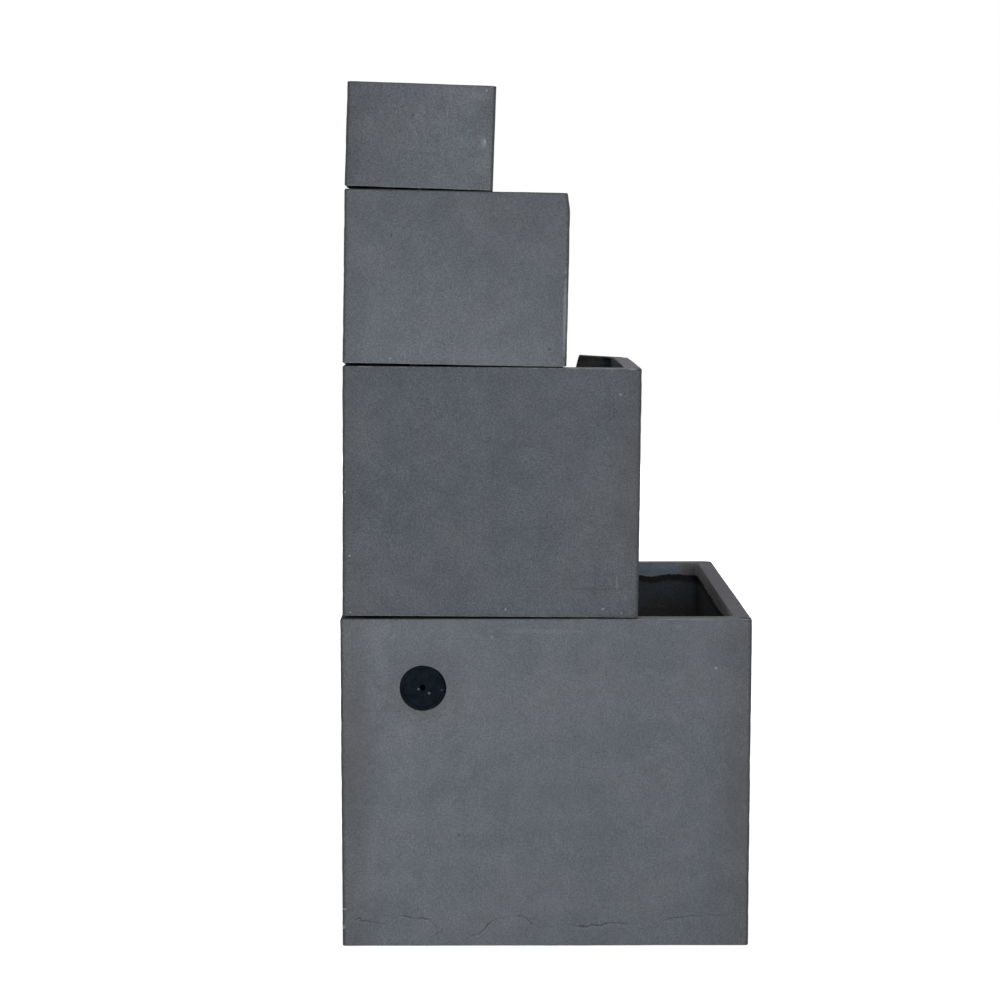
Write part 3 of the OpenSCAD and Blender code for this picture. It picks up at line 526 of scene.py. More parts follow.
def notchedTop(box, side, along):
    # the rim's height along a side: on the far side it drops into the spill notch by sloping jambs
    # with rounded tops, a smooth step on each side
    top = np.full(len(along), float(box["height"]))
    if "notch" in box and side == 2:
        end, depth = box["notch"]
        t = unit((np.minimum(along - end, box["side"] - end - along) + 3) / 9)
        top -= depth * t * t * (3 - 2 * t)
    return top


def ringPath(box):
    # the outer and the inner line of the walls, the rim's height and the number of the side at each point
    side, wall = box["side"], box["wall"]
    meet = wall + innerRound + 15
    squeeze = (meet - wall - innerRound) / (meet - arris)
    arc = np.radians(np.linspace(-90, 0, 9))[1:-1]
    bend = pairs(np.cos(arc), np.sin(arc))
    turns = (lambda p: p, lambda p: pairs(side - p[:, 1], p[:, 0]), lambda p: side - p,
             lambda p: pairs(p[:, 1], side - p[:, 0]))
    outer, inner, top, sideOf = [], [], [], []
    for k, turned in enumerate(turns):
        breaks = [arris, meet, side - meet, side - arris]
        if k == 0 and "port" in box:
            x, _, _, half = box["port"]
            breaks[2:2] = [x - half, x + half]
        notched = k == 2 and "notch" in box
        if notched:
            end = box["notch"][0]
            breaks[2:2] = [end - 4, end + 7, side - end - 7, side - end + 4]
        along = spread(breaks, box["step"])
        if notched:
            fine = [np.linspace(a, a + 11, 12) for a in (end - 4, side - end - 7)]
            along = np.unique(np.concatenate([along, *fine]).round(4))
        pulled = np.where(along < meet, meet - (meet - along) * squeeze,
                          np.where(along > side - meet, side - meet + (along - side + meet) * squeeze, along))
        near, far = wall + innerRound, side - wall - innerRound
        outer.append(turned(np.concatenate([pairs(along, 0), [side - arris, arris] + arris * bend])))
        inner.append(turned(np.concatenate([pairs(pulled, wall), [far, near] + innerRound * bend])))
        top.append(np.append(notchedTop(box, k, along), np.full(len(arc), float(box["height"]))))
        sideOf.append(np.full(len(top[-1]), k))
    return (np.concatenate(values) for values in (outer, inner, top, sideOf))


def ringWall(box):
    # Outer walls: a closed profile (outer face, arris, rim, inner face, foot) is carried round a square
    # path with rounded corners. Across the wall each point runs from the outer path to the inner one.
    side, wall, high, seed = box["side"], box["wall"], box["height"], box["seed"]
    outer, inner, top, sideOf = ringPath(box)
    turn = quarter(6)
    shares = spread([0, 1], box["step"] / (high - 2 * arris))
    if "port" in box:
        _, z, _, half = box["port"]
        flank = high - topArris - footArris
        shares = spread([0, (z - half - footArris) / flank, (z + half - footArris) / flank, 1],
                        box["step"] / flank)
    foot = 0.5
    # (across in mm, share of the height, lift in mm, arris, face)
    rows = [(0, v, footArris * (1 - v) - topArris * v, 0, 0) for v in shares]
    rows += [(topArris - topArris * math.cos(a), 1, topArris * math.sin(a) - topArris, math.sin(2 * a), 1)
             for a in turn]
    rows += [(x, 1, 0, 0, 2) for x in np.linspace(topArris, wall - rimRound, 4)]
    rows += [(wall - rimRound + rimRound * math.sin(a), 1, rimRound * math.cos(a) - rimRound,
              0.6 * math.sin(2 * a), 3) for a in turn]
    rows += [(wall, v, foot * (1 - v) - rimRound * v, 0, 4) for v in shares[::-1]]
    rows += [(x, 0, 0, 0, 5) for x in (wall - foot, wall - 3, footArris + 1.6, footArris)]
    rows += [(footArris - footArris * math.sin(a), 0, footArris - footArris * math.cos(a), math.sin(2 * a), 6)
             for a in turn]
    across, share, lift, edge, face = np.array(rows).T
    count = len(outer)
    points = np.empty((len(rows), count, 3))
    points[..., :2] = outer + (inner - outer) * (across / wall)[:, None, None]
    points[..., 2] = share[:, None] * top + lift[:, None]

    # a ridge under the left wall, in the seam, that stands for the seam's shadow with the underside's painted shade:
    # it lies between the wall's faces and clear of its ends
    ridged = ((across > footArris + 1) & (across < wall - 2) & (face == 5))[:, None]
    fade = unit((outer[:, 1] - 3) / 6) * unit((side - 3 - outer[:, 1]) / 6) * (sideOf == 3)
    points[..., 2] -= box["ridge"] * ridged * fade
    flat = points.reshape(-1, 3)
    normal = gridNormals(points).reshape(-1, 3)
    # 1 at the middle of an upright outer arris
    cornered = np.abs(outer[:, 0] - side / 2) + np.abs(outer[:, 1] - side / 2)
    upright = unit(1 - (side - cornered - 2 * arris * (1 - math.sqrt(0.5))) / arris)
    upright = (upright * (across < wall * 0.5)[:, None]).reshape(-1)
    level, face = np.repeat(edge, count), np.repeat(face, count)
    edge = np.maximum(level, upright)
    dent = sum(dents(flat, *values, seed + k) for k, values in enumerate(wearing["wall"]))
    rub = unit(slowWaves(flat, wearing["rubWave"], seed + 2)) ** 1.3
    small, large = (slowWaves(flat, wave, seed + 3 + k) for k, wave in enumerate(wearing["chipWaves"]))
    chip = unit(small * 0.7 + large * 0.5 - 0.75)
    whole = unit((flat[:, 0] + flat[:, 2] - 12) / 14)    # no chips at the left foot, where the seam opens
    depth = dent + edge * (wearing["rub"] * rub + wearing["chip"] * chip) * whole
    if "cutCorner" in box:
        push, drop = box["cutCorner"]
        t = unit((flat[:, 2] - (high - drop)) / drop)
        flat[:, 0] -= push * t * unit(1 - flat[:, 1] / 70) * unit((flat[:, 0] - side + wall) / wall)
    if "wornFar" in box:                             # the far rim has worn down towards its right end
        start, low, more = box["wornFar"]
        t = unit((flat[:, 0] - start) / (side - start))
        lost = (low * unit(t * 6) + more * t) * unit((flat[:, 1] - side + 90) / 70)
        flat[:, 2] -= lost * unit((flat[:, 2] - high + 40) / 40)
    flat -= normal * depth[:, None]

    inside, coatTop = face == 4, box["coatTop"]
    coat = np.where(inside, np.minimum(np.tile(top, len(rows)) - coatTop - flat[:, 2],
                                       flat[:, 2] - box["floorFoot"] - 2), bare)
    coat = np.where(face == 3, 0.5 - coatTop, np.where(face == 2, -3.0 - coatTop, coat))
    if "notch" in box:                               # the coat also laps over the rim beside the notch
        lapped = box["notch"][0] - box["lap"]
        nearNotch = np.minimum(flat[:, 0] - lapped, side - lapped - flat[:, 0])
        onRim = np.tile(sideOf == 2, len(rows)) & (face >= 1) & (face <= 3)
        coat = np.maximum(coat, np.where(onRim, nearNotch, bare))
    bright, dark = box["worn"]                       # the rim's outer arris: rubbed pale on the base, darkened above with painted shade and some grime
    wear = np.where(upright > level, 0.9 * chip + 0.35 * rub, level)
    wear = np.where(face == 1, level * (bright + 0.5 * rub) + 0.5 * chip, wear)
    # painted shade, with some grime on the rim's outer arris: 1 on the underside, on the rim where the tier above
    # covers it, and along the upright arrises
    hidden = (face == 5) | ((face == 2) & (flat[:, 0] < box["carries"]) & (flat[:, 1] < box["carries"]))
    dirt = np.where(hidden, 1.0, np.where(face == 1, np.maximum(upright, level * dark), upright))
    return {"points": flat, "faces": gridQuads(len(rows), count, True, True), "wear": wear, "coat": coat * mm,
            "dirt": dirt, "rim": (face == 2) * 1.0, "inner": inside * 1.0, "rows": len(rows), "outer": outer,
            "shares": shares, "face": face[::count], "side": sideOf}


def cutPort(box, ring):
    # The port through the near wall: the cells of a square block are left out of both faces, and rings of
    # points run from the block's outline to the round hole, through the wall and out to the same outline
    x0, z0, radius, half = box["port"]
    rows, columns = ring["rows"], len(ring["outer"])
    index = np.arange(rows * columns).reshape(rows, columns)
    points = ring["points"]
    z = footArris + ring["shares"] * (box["height"] - topArris - footArris)
    cols = np.where((ring["side"] == 0) & (np.abs(ring["outer"][:, 0] - x0) <= half + 0.01))[0]
    outRows = np.where(np.abs(z - z0) <= half + 0.01)[0]
    inRows = np.where(ring["face"] == 4)[0][0] + (len(z) - 1 - outRows)

    def outline(r):
        block = index[np.ix_(r, cols)]
        return np.concatenate([block[0, :-1], block[:-1, -1], block[-1, :0:-1], block[:0:-1, 0]])

    outLoop, inLoop = outline(outRows), outline(inRows)
    keep = np.ones((rows, columns), bool)
    keep[outRows[0]:outRows[-1], cols[0]:cols[-1]] = False
    keep[inRows[-1]:inRows[0], cols[0]:cols[-1]] = False
    faces = np.array(ring["faces"]).reshape(rows, columns, 4)[keep]

    a, b = points[outLoop], points[inLoop]
    angle = np.arctan2(a[:, 2] - z0, a[:, 0] - x0)
    wobble = sum(depth * np.sin(waves * angle + start) for depth, waves, start in wearing["port"])
    narrowing = 0.4 * (wobble + 0.55)
    wall, edgeR, sunk = box["wall"], 1.3, 0.25
    hole = radius + 0.25 + narrowing + 0.9 * unit(np.cos(angle)) ** 2

    def circle(r, y):
        return np.stack([x0 + r * np.cos(angle), 0 * angle + y, z0 + r * np.sin(angle)], 1)

    rings = []                                       # (points, wear) from the outer face to the inner one
    for t in np.linspace(0, 1, 9)[1:-1]:
        s = t ** 0.8
        rings.append((a * (1 - s) + circle(hole + edgeR, sunk) * s, 0))
    for turn in np.radians(np.linspace(0, 90, 5)):
        rings.append((circle(hole + edgeR * (1 - math.sin(turn)), sunk + edgeR * (1 - math.cos(turn))),
                      0.5 * math.sin(2 * turn)))
    for y in np.linspace(0, 1, 6)[1:-1]:
        rings.append((circle(hole - y * narrowing, sunk + edgeR + y * (wall - 1 - edgeR)), 0))
    rings.append((circle(radius + 0.3, wall - 0.5), 0))
    for t in np.linspace(0, 1, 7)[1:-1]:
        rings.append((circle(radius + 1, wall - 0.2) * (1 - t) + b * t, 0))
    count, first = len(angle), len(points)
    new = np.concatenate([place for place, _ in rings])
    loops = np.vstack([outLoop[None], first + np.arange(len(new)).reshape(-1, count), inLoop[None]])
    nextLoops = np.roll(loops, -1, 1)
    strips = np.stack([loops[:-1], nextLoops[:-1], nextLoops[1:], loops[1:]], -1).reshape(-1, 4)
    ring["points"] = np.concatenate([points, new])
    ring["faces"] = np.concatenate([faces, strips]).tolist()
    ring["wear"] = np.append(ring["wear"], np.repeat([wear for _, wear in rings], count))
    ring["coat"] = np.append(ring["coat"], np.full(len(new), bare * mm))
    ring["coat"][first + (len(rings) - 6) * count:] = 0.02
    return ring


def carriedSection(box, outer, inner, foot):
    # A rectangular section with rounded top edges is carried from the first to the last point of a path
    # given by its outer and inner lines. foot is the height of its underside at each point.
    high, thick, edge = box["height"], box["seatThick"], 1.2
    turn = quarter(4)
    shares = spread([0, 1], (box["step"] + 2) / (high - foot.min()))
    rows = [(0, v, -edge * v, 0) for v in shares]
    rows += [(edge - edge * math.cos(a), 1, edge * math.sin(a) - edge, 1) for a in turn]
    rows += [(x, 1, 0, 1) for x in np.linspace(edge, thick - edge, 3)]
    rows += [(thick - edge + edge * math.sin(a), 1, edge * math.cos(a) - edge, 1) for a in turn]
    rows += [(thick, v, -edge * v, 2) for v in shares[::-1]]
    rows += [(x, 0, 0, 3) for x in (thick * 2 / 3, thick / 3)]
    across, share, lift, face = np.array(rows).T
    count = len(outer)
    points = np.empty((len(rows), count, 3))
    points[..., :2] = outer + (inner - outer) * (across / thick)[:, None, None]
    points[..., 2] = foot + share[:, None] * (high - foot) + lift[:, None]
    normal = gridNormals(points, False).reshape(-1, 3)
    flat = points.reshape(-1, 3)
    flat -= normal * dents(flat, *wearing["carried"], box["seed"] + 5)[:, None]
    starts = range(0, len(rows) * count, count)
    faces = gridQuads(len(rows), count, True, False) + [list(starts), [r + count - 1 for r in starts[::-1]]]
    return {"points": flat, "faces": faces, "wear": np.zeros(len(flat))}, np.repeat(face, count)


def seatWall(box):
    # The inner walls that carry the tier above, cast in one with the box: an L from the near wall to the
    # corner and on to the left wall, coated on the side of the trough
    thick, small = box["seatThick"], 1.0
    seatX, seatY = box["seat"]

    def leg(length):
        end = length - thick - innerRound
        turnIn = end - 12
        along = spread([box["wall"] - 2, turnIn, length - small], box["step"] + 2)
        pulled = turnIn + (along - turnIn) * (end - turnIn) / (length - small - turnIn)
        return along, np.where(along > turnIn, pulled, along)

    alongA, pulledA = leg(seatY)
    alongB, pulledB = leg(seatX)
    bend = pairs(np.cos(quarter(7)), np.sin(quarter(7)))

    def line(a, b, inset, radius):
        x, y = seatX - inset, seatY - inset
        return np.concatenate([pairs(x, a), [x - radius, y - radius] + radius * bend, pairs(b, y)[::-1]])

    outer, inner = line(alongA, alongB, 0, small), line(pulledA, pulledB, thick, innerRound)
    part, face = carriedSection(box, outer, inner, np.full(len(outer), box["floorTop"] - 2.0))
    coat = np.where(face == 0, box["height"] - box["coatTop"] - part["points"][:, 2], bare)
    return {**part, "coat": np.where(face == 1, -2.0 - box["coatTop"], coat) * mm}


def seatPanel(box, panel, material):
    # A loose upright panel in the base with a water gate through its foot, coated on both sides
    first, last, half = panel["from"], panel["to"], box["gate"][0] / 2
    middle = (first + last) / 2
    gate = [middle + sign * half + small for sign in (-1, 1) for small in (-0.3, 0.3)]
    along = spread([first + 0.4, *gate, last - 0.4], box["step"] + 2)
    foot = np.where(np.abs(along - middle) < half, box["floorTop"] + box["gate"][1], box["floorTop"] + 0.0)
    lines = [pairs(panel["face"] - deep, along) for deep in (0, box["seatThick"])]
    if panel["turned"]:                              # the far panel runs along X, the right one along Y
        lines, foot = [line[::-1, ::-1] for line in lines], foot[::-1]
    part, face = carriedSection(box, *lines, foot)
    coat = np.where(face == 1, -15.0, box["height"] - panel["coatTop"] - part["points"][:, 2])
    cementPiece(panel["node"], box["frame"], {**part, "coat": coat * mm}, material)


def floorSlab(box):
    # A square plate: rings of points run from the hose hole, or from a point, out to the square's edge, on
    # the top and back on the underside
    low, high = box["wall"] - 2, box["side"] - box["wall"] + 2
    holed = "hole" in box
    x0, y0, radius = box["hole"] if holed else (box["side"] / 2, box["side"] / 2, 6)
    turn = np.linspace(0, 2 * np.pi, 96, endpoint=False)
    corners = [math.atan2(y - y0, x - x0) % (2 * np.pi) for x in (low, high) for y in (low, high)]
    turn = np.unique(np.concatenate([turn, corners]).round(6))
    way = pairs(np.cos(turn), np.sin(turn))
    reach = np.where(way > 0, high - np.array([x0, y0]), np.array([x0, y0]) - low) / np.maximum(np.abs(way), 1e-9)
    rings = np.linspace(0, 1, 26)
    share = np.append(rings, rings[::-1])
    rows, count = len(share), len(turn)
    onTop = np.arange(rows) < len(rings)
    points = np.empty((rows, count, 3))
    points[..., :2] = [x0, y0] + way * (radius + share[:, None] * (reach.min(1) - radius))[..., None]
    points[..., 2] = np.where(onTop, float(box["floorTop"]), float(box["floorFoot"]))[:, None]
    flat, onTop = points.reshape(-1, 3), np.repeat(onTop, count)
    flat[:, 2] -= np.where(onTop, dents(flat, *wearing["floor"], box["seed"] + 6), 0)
    faces = [f[::-1] for f in gridQuads(rows, count, holed, True)]
    if not holed:
        faces += [list(range(count)), list(range(rows * count))[:-count - 1:-1]]
    return {"points": flat, "faces": faces, "wear": np.zeros(len(flat)), "coat": np.where(onTop, coated, bare) * mm}


def cementBox(box, material):
    parts = [ringWall(box), floorSlab(box)]
    if "port" in box:
        parts[0] = cutPort(box, parts[0])
    if "seat" in box:
        parts.insert(1, seatWall(box))
    faces, values = [], {key: [] for key in ("wear", "coat", "dirt", "rim", "inner")}
    first = 0
    for part in parts:
        count = len(part["points"])
        for key, lists in values.items():            # what a part doesn't say is nought
            given = part.get(key, np.zeros(0))
            lists.append(np.append(given, np.zeros(count - len(given))))
        faces += [[k + first for k in face] for face in part["faces"]]
        first += count
    whole = {key: np.concatenate(lists) for key, lists in values.items()}
    points = np.concatenate([part["points"] for part in parts])
    cementPiece(box["node"], box["frame"], {"points": points, "faces": faces, **whole}, material)


# How each box's cement looks. size and offset in metres. tone: how light it is; rise and across: painted light and
# shade, how much lighter it is at the foot and the rim and at the left and the right. grain, rim, coat and outline:
# how strong the noises, the rims' painted light, the coat's tone and the painted shade of hidden faces and arrises
# are. edge: painted shade near the upright edges (width, share). halo: a darker ring round the port (x, z, inner and
# outer radius, share). marks: (x, z, half width, half height, share, shade). strip: the bare strip over the coat,
# lightened as painted light (far wall left and right, right wall, where it turns). crack: its line, and how clear it
# is, along x.
looks = {
    "baseBasin": {
        "size": (0.476, 0.388), "offset": (0.0, 0.0, 0.0), "coat": 1.15, "grain": 1.03, "tone": 1.0, "rim": 1.56,
        "rise": (1.02, 0.98), "across": (1.04, 0.9), "edge": (0.06, 0.45), "worn": 0.5, "outline": 0.75,
        "halo": (0.095, 0.307, 0.024, 0.062, 0.34),
        "strip": ((0.17, 0.21, 0.255), (0.145, 0.138, 0.142), (0.25, 0.24, 0.245), 0.434),
        "marks": [
            (0.1368, 0.1333, 0.0018, 0.0014, 0.8, "pit"), (0.1754, 0.3671, 0.0015, 0.0012, 0.8, "worn"),
            (0.4343, 0.3305, 0.0018, 0.0016, 0.8, "worn"), (0.0026, 0.0447, 0.0028, 0.0012, 0.8, "worn"),
            (0.0014, 0.0229, 0.002, 0.003, 0.8, "worn"), (0.185, 0.371, 0.014, 0.006, 0.3, "dirt"),
            (0.44, 0.366, 0.03, 0.016, 0.22, "dirt"), (0.459, 0.2, 0.016, 0.11, 0.35, "dirt"),
            (0.016, 0.24, 0.02, 0.09, 0.35, "dirt"), (0.232, 0.3735, 0.06, 0.003, 0.13, "worn"),
            (0.306, 0.232, 0.0016, 0.0014, 0.5, "pit"), (0.303, 0.265, 0.0012, 0.0012, 0.5, "pit"),
            (0.4735, 0.3852, 0.004, 0.0009, 0.8, "pit"), (0.391, 0.379, 0.005, 0.0022, 0.2, "worn"),
            (0.412, 0.3885, 0.058, 0.0022, 0.3, "worn")],
        "crack": {
            "height": 0.1,
            "share": 0.9,
            "clear": [
                (0, 0), (0.014, 0), (0.018, 0.7), (0.047, 0.6), (0.052, 0.25), (0.066, 0.3), (0.072, 0.7),
                (0.098, 0.7), (0.104, 0.3), (0.112, 0.14), (0.145, 0.15), (0.152, 0.6), (0.16, 1), (0.176, 0.8),
                (0.184, 0.28), (0.205, 0.3), (0.21, 0.6), (0.224, 0.4), (0.232, 0.3), (0.262, 0.3), (0.276, 0.6),
                (0.285, 1), (0.331, 0.6), (0.338, 0.02), (0.358, 0.1), (0.366, 0.25), (0.388, 0.45), (0.392, 0.7),
                (0.415, 0.7), (0.422, 0.3), (0.448, 0.2), (0.455, 0), (0.476, 0)],
            "points": [
                (0, 0.0329), (0.0186, 0.0327), (0.0334, 0.0305), (0.0469, 0.0274), (0.0693, 0.0371),
                (0.0842, 0.0335), (0.0977, 0.0335), (0.114, 0.0212), (0.1379, 0.0195), (0.1529, 0.014),
                (0.1648, 0.0195), (0.1768, 0.0302), (0.1947, 0.0354), (0.208, 0.0363), (0.2215, 0.0271),
                (0.2394, 0.0225), (0.2584, 0.0264), (0.2748, 0.024), (0.3287, 0.0275), (0.3603, 0.019),
                (0.3755, 0.0298), (0.3954, 0.0346), (0.434, 0.0369), (0.476, 0.0368)]}},
    "tierThree": {
        "size": (0.342, 0.288), "offset": (1.7, 0.4, 2.1), "coat": 0.95, "grain": 1.25, "tone": 0.73, "rim": 2.7,
        "rise": (1.02, 0.99), "across": (1.0, 0.99), "edge": (0.04, 0.35), "worn": 0.75, "outline": 0.75,
        "marks": [
            (0.3175, 0.2581, 0.0015, 0.0015, 0.7, "worn"), (0.0036, 0.1435, 0.0014, 0.0014, 0.7, "worn"),
            (0.0086, 0.0697, 0.0016, 0.0012, 0.8, "worn"), (0.1885, 0.0088, 0.0011, 0.0018, 0.8, "worn"),
            (0.3222, 0.0052, 0.0015, 0.001, 0.7, "worn"), (0.0096, 0.0042, 0.0014, 0.0012, 0.8, "worn"),
            (0.3009, 0.0102, 0.0018, 0.0014, 0.8, "worn"), (0.29, 0.0335, 0.04, 0.0018, 0.24, "pit"),
            (0.3165, 0.0405, 0.0013, 0.009, 0.22, "worn"), (0.325, 0.15, 0.022, 0.11, 0.22, "dirt"),
            (0.262, 0.281, 0.011, 0.004, 0.3, "dirt"), (0.331, 0.2872, 0.006, 0.0013, 0.8, "worn"),
            (0.3395, 0.2855, 0.0035, 0.002, 0.7, "pit"), (0.3, 0.2885, 0.04, 0.0022, 0.45, "worn")]},
    "tierTwo": {
        "size": (0.256, 0.197), "offset": (3.3, 1.9, 0.7), "coat": 1.0, "grain": 1.14, "tone": 0.84, "rim": 1.45,
        "rise": (1.17, 0.93), "across": (1.0, 0.98), "edge": (0.03, 0.25), "worn": 0.75, "outline": 0.75,
        "marks": [
            (0.0536, 0.1452, 0.0014, 0.0016, 0.6, "pit"), (0.0544, 0.006, 0.0014, 0.0012, 0.8, "worn"),
            (0.2525, 0.06, 0.0022, 0.056, 0.45, "worn"), (0.236, 0.02, 0.0018, 0.002, 0.6, "pit"),
            (0.15, 0.182, 0.04, 0.006, 0.25, "dirt")]},
    "topTier": {
        "size": (0.168, 0.117), "offset": (5.1, 2.2, 3.9), "coat": 1.0, "grain": 1.3, "tone": 0.95, "rim": 1.3,
        "rise": (1.03, 0.97), "across": (0.77, 1.0), "edge": (0.03, 0.38), "worn": 0.75, "outline": 0.8,
        "marks": [
            (0.0748, 0.0813, 0.0016, 0.0016, 0.85, "pit"), (0.0227, 0.0661, 0.0011, 0.0011, 0.7, "pit"),
            (0.157, 0.1115, 0.0012, 0.0014, 0.9, "worn"), (0.1555, 0.053, 0.003, 0.007, 0.34, "worn"),
            (0.1572, 0.0545, 0.0014, 0.003, 0.65, "worn"), (0.15, 0.105, 0.01, 0.006, 0.15, "worn")]},
}
for box in (baseBasin, tierThree, tierTwo, topTier):
    name = nameOf(box["node"])
    cementBox(box, cementMaterial(name + "Cement", looks[name]))
    print(name, "made")


# Panels in the base that carry tier three
panels = [
    {"node": "seat_panel_right", "face": 341.4, "from": 21, "to": 342, "turned": False, "coatTop": 22},
    {"node": "seat_panel_far", "face": 342, "from": 21, "to": 320.4, "turned": True, "coatTop": 20},
]
for panel in panels:
    seatPanel(baseBasin, panel, bpy.data.materials["baseBasinCement"])
print("panels made")


# Finishes of the small pieces, in linear colours and metres. patch and grain are the scales of the slow and the
# fine noise, stripes are (axis, pitch, darkening, depth), specks are (x, y, z, radius).
finishes = {
    "bungRubber": {
        "slot": "black_rubber", "colour": (0.0012, 0.0032, 0.0055), "second": (0.0042, 0.008, 0.0115), "patch": 120,
        "grain": 500, "speckle": 0.45, "rough": (0.55, 0.75), "dust": 0.02, "relief": 0.0003, "shine": 0.05,
        "specks": [
            (-0.1476, -0.2351, 0.3056, 0.0011), (-0.1355, -0.2351, 0.3008, 0.0013),
            (-0.1208, -0.2358, 0.3044, 0.001)]},
    "blackRubber": {
        "slot": "black_rubber", "colour": (0.0042, 0.0046, 0.0054), "second": (0.0075, 0.008, 0.009), "patch": 55,
        "grain": 1100, "speckle": 0.25, "rough": (0.55, 0.78), "dust": 0.04, "relief": 0.00012, "shine": 0.25},
    # the pads' rubber, darker and duller than the other black rubber: painted shade, so that they stay dark in the
    # seams
    "padRubber": {
        "slot": "black_rubber", "colour": (0.0014, 0.0015, 0.0018), "second": (0.003, 0.0032, 0.0036), "patch": 55,
        "grain": 1100, "speckle": 0.25, "rough": (0.7, 0.9), "dust": 0.01, "relief": 0.00012, "shine": 0.05},
    "mouldedPlastic": {
        "slot": "pump_plastic", "colour": (0.018, 0.019, 0.021), "second": (0.024, 0.025, 0.028), "patch": 38,
        "grain": 1500, "speckle": 0.12, "rough": (0.38, 0.56), "dust": 0.14, "relief": 0.00008},
    "dialPlastic": {
        "slot": "dial_plastic", "colour": (0.2, 0.21, 0.22), "second": (0.24, 0.25, 0.26), "patch": 60,
        "grain": 1500, "speckle": 0.06, "rough": (0.4, 0.55), "dust": 0.1, "relief": 0.00006},
    "hoseVinyl": {
        "slot": "hose_vinyl", "colour": (0.55, 0.62, 0.62), "second": (0.46, 0.55, 0.52), "patch": 30, "grain": 700,
        "speckle": 0.05, "rough": (0.16, 0.34), "dust": 0.1, "relief": 0.00005, "through": 0.72},
    "clampSteel": {
        "slot": "clamp_steel", "colour": (0.56, 0.57, 0.58), "second": (0.47, 0.48, 0.5), "patch": 90, "grain": 1300,
        "speckle": 0.08, "rough": (0.24, 0.42), "metal": 1.0, "dust": 0.12, "relief": 0.00003,
        "stripes": ("Z", 0.00045, 0.1, 0.00002)},
    "coreSteel": {
        "slot": "core_steel", "colour": (0.24, 0.24, 0.25), "second": (0.17, 0.15, 0.14), "patch": 80, "grain": 1200,
        "speckle": 0.15, "rough": (0.4, 0.62), "metal": 0.9, "dust": 0.0, "relief": 0.00004,
        "stripes": ("Y", 0.001, 0.45, 0.00012)},
    "coilCopper": {
        "slot": "coil_copper", "colour": (0.36, 0.115, 0.035), "second": (0.26, 0.075, 0.024), "patch": 110,
        "grain": 1300, "speckle": 0.1, "rough": (0.22, 0.38), "metal": 0.75, "dust": 0.0, "relief": 0.00003,
        "stripes": ("X", 0.0008, 0.5, 0.0002)},
    "shaftCeramic": {
        "slot": "shaft_ceramic", "colour": (0.78, 0.77, 0.72), "second": (0.72, 0.7, 0.64), "patch": 120,
        "grain": 1600, "speckle": 0.04, "rough": (0.18, 0.3), "dust": 0.05, "relief": 0.00002},
    "sinteredMagnet": {
        "slot": "magnet", "colour": (0.05, 0.05, 0.054), "second": (0.072, 0.07, 0.07), "patch": 90, "grain": 1800,
        "speckle": 0.3, "rough": (0.45, 0.65), "metal": 0.3, "dust": 0.06, "relief": 0.0001},
    "impellerPlastic": {
        "slot": "impeller_plastic", "colour": (0.62, 0.61, 0.57), "second": (0.56, 0.54, 0.49), "patch": 60,
        "grain": 1300, "speckle": 0.05, "rough": (0.36, 0.52), "dust": 0.12, "relief": 0.00005},
    "filterFoam": {
        "slot": "filter_foam", "colour": (0.013, 0.014, 0.016), "second": (0.024, 0.026, 0.028), "patch": 40,
        "grain": 500, "speckle": 0.3, "rough": (0.85, 0.97), "dust": 0.12, "relief": 0.0003, "pores": 620},
}


def finishMaterial(name):
    # Colour: two tones mixed by slow noise and speckled by fine noise. Stripes are sines along one axis, as
    # of wires or sheets. Pale dust lies in patches. The relief is the fine noise, the stripes and the pores.
    look = finishes[name]
    g = Graph(bpy.data.materials.new(name))
    place = g.objectPlace()
    slow, fine = g.noise(place, look["patch"], 3, 0.6), g.noise(place, look["grain"], 4, 0.65)
    colour = g.mix(g.span(slow, 0.36, 0.64), look["colour"], look["second"])
    colour = g.tint(colour, g.span(fine, 0.25, 0.75, (1 - look["speckle"], 1 + look["speckle"])))
    normal = g.bump(fine, look["relief"], 0.7)
    if "stripes" in look:
        axis, pitch, dark, depth = look["stripes"]
        along = g.plus(g.axes(place)["XYZ".index(axis)], g.swing(slow, pitch * 0.8))
        wave = g.math("SINE", g.times(along, 2 * math.pi / pitch))
        colour = g.tint(colour, g.span(wave, -1, 0.2, (1 - dark, 1)))
        normal = g.bump(wave, depth, 0.8, normal)
    if "pores" in look:
        pore = g.cells(place, look["pores"])
        colour = g.tint(colour, g.span(pore, 0.5, 0.15, (1.5, 0.25)))
        normal = g.bump(pore, 0.0012, 0.9, normal)
    lying = g.span(g.noise(place, look["patch"] * 0.6, 4, 0.7), 0.52, 0.72)
    dust = g.times(lying, look["dust"], g.span(fine, 0.35, 0.6, (0.4, 1.0)))
    colour = g.mix(dust, colour, (0.30, 0.30, 0.29))
    for *spot, radius in look.get("specks", ()):
        near = g.span(g.vector("DISTANCE", place, spot), radius * 1.6, radius * 0.5)
        colour = g.over(colour, (0.12, 0.15, 0.17), near, 0.6)
    rough = g.plus(g.span(slow, 0.3, 0.7, look["rough"]), g.times(dust, 0.4))
    return g.dress({"Base Color": colour, "Roughness": rough, "Metallic": look.get("metal", 0.0),
                    "Specular IOR Level": look.get("shine", 0.5), "Transmission Weight": look.get("through", 0.0),
                    "IOR": 1.5, "Normal": normal})


made = {name: finishMaterial(name) for name in finishes}
print("finishes made:", len(made))


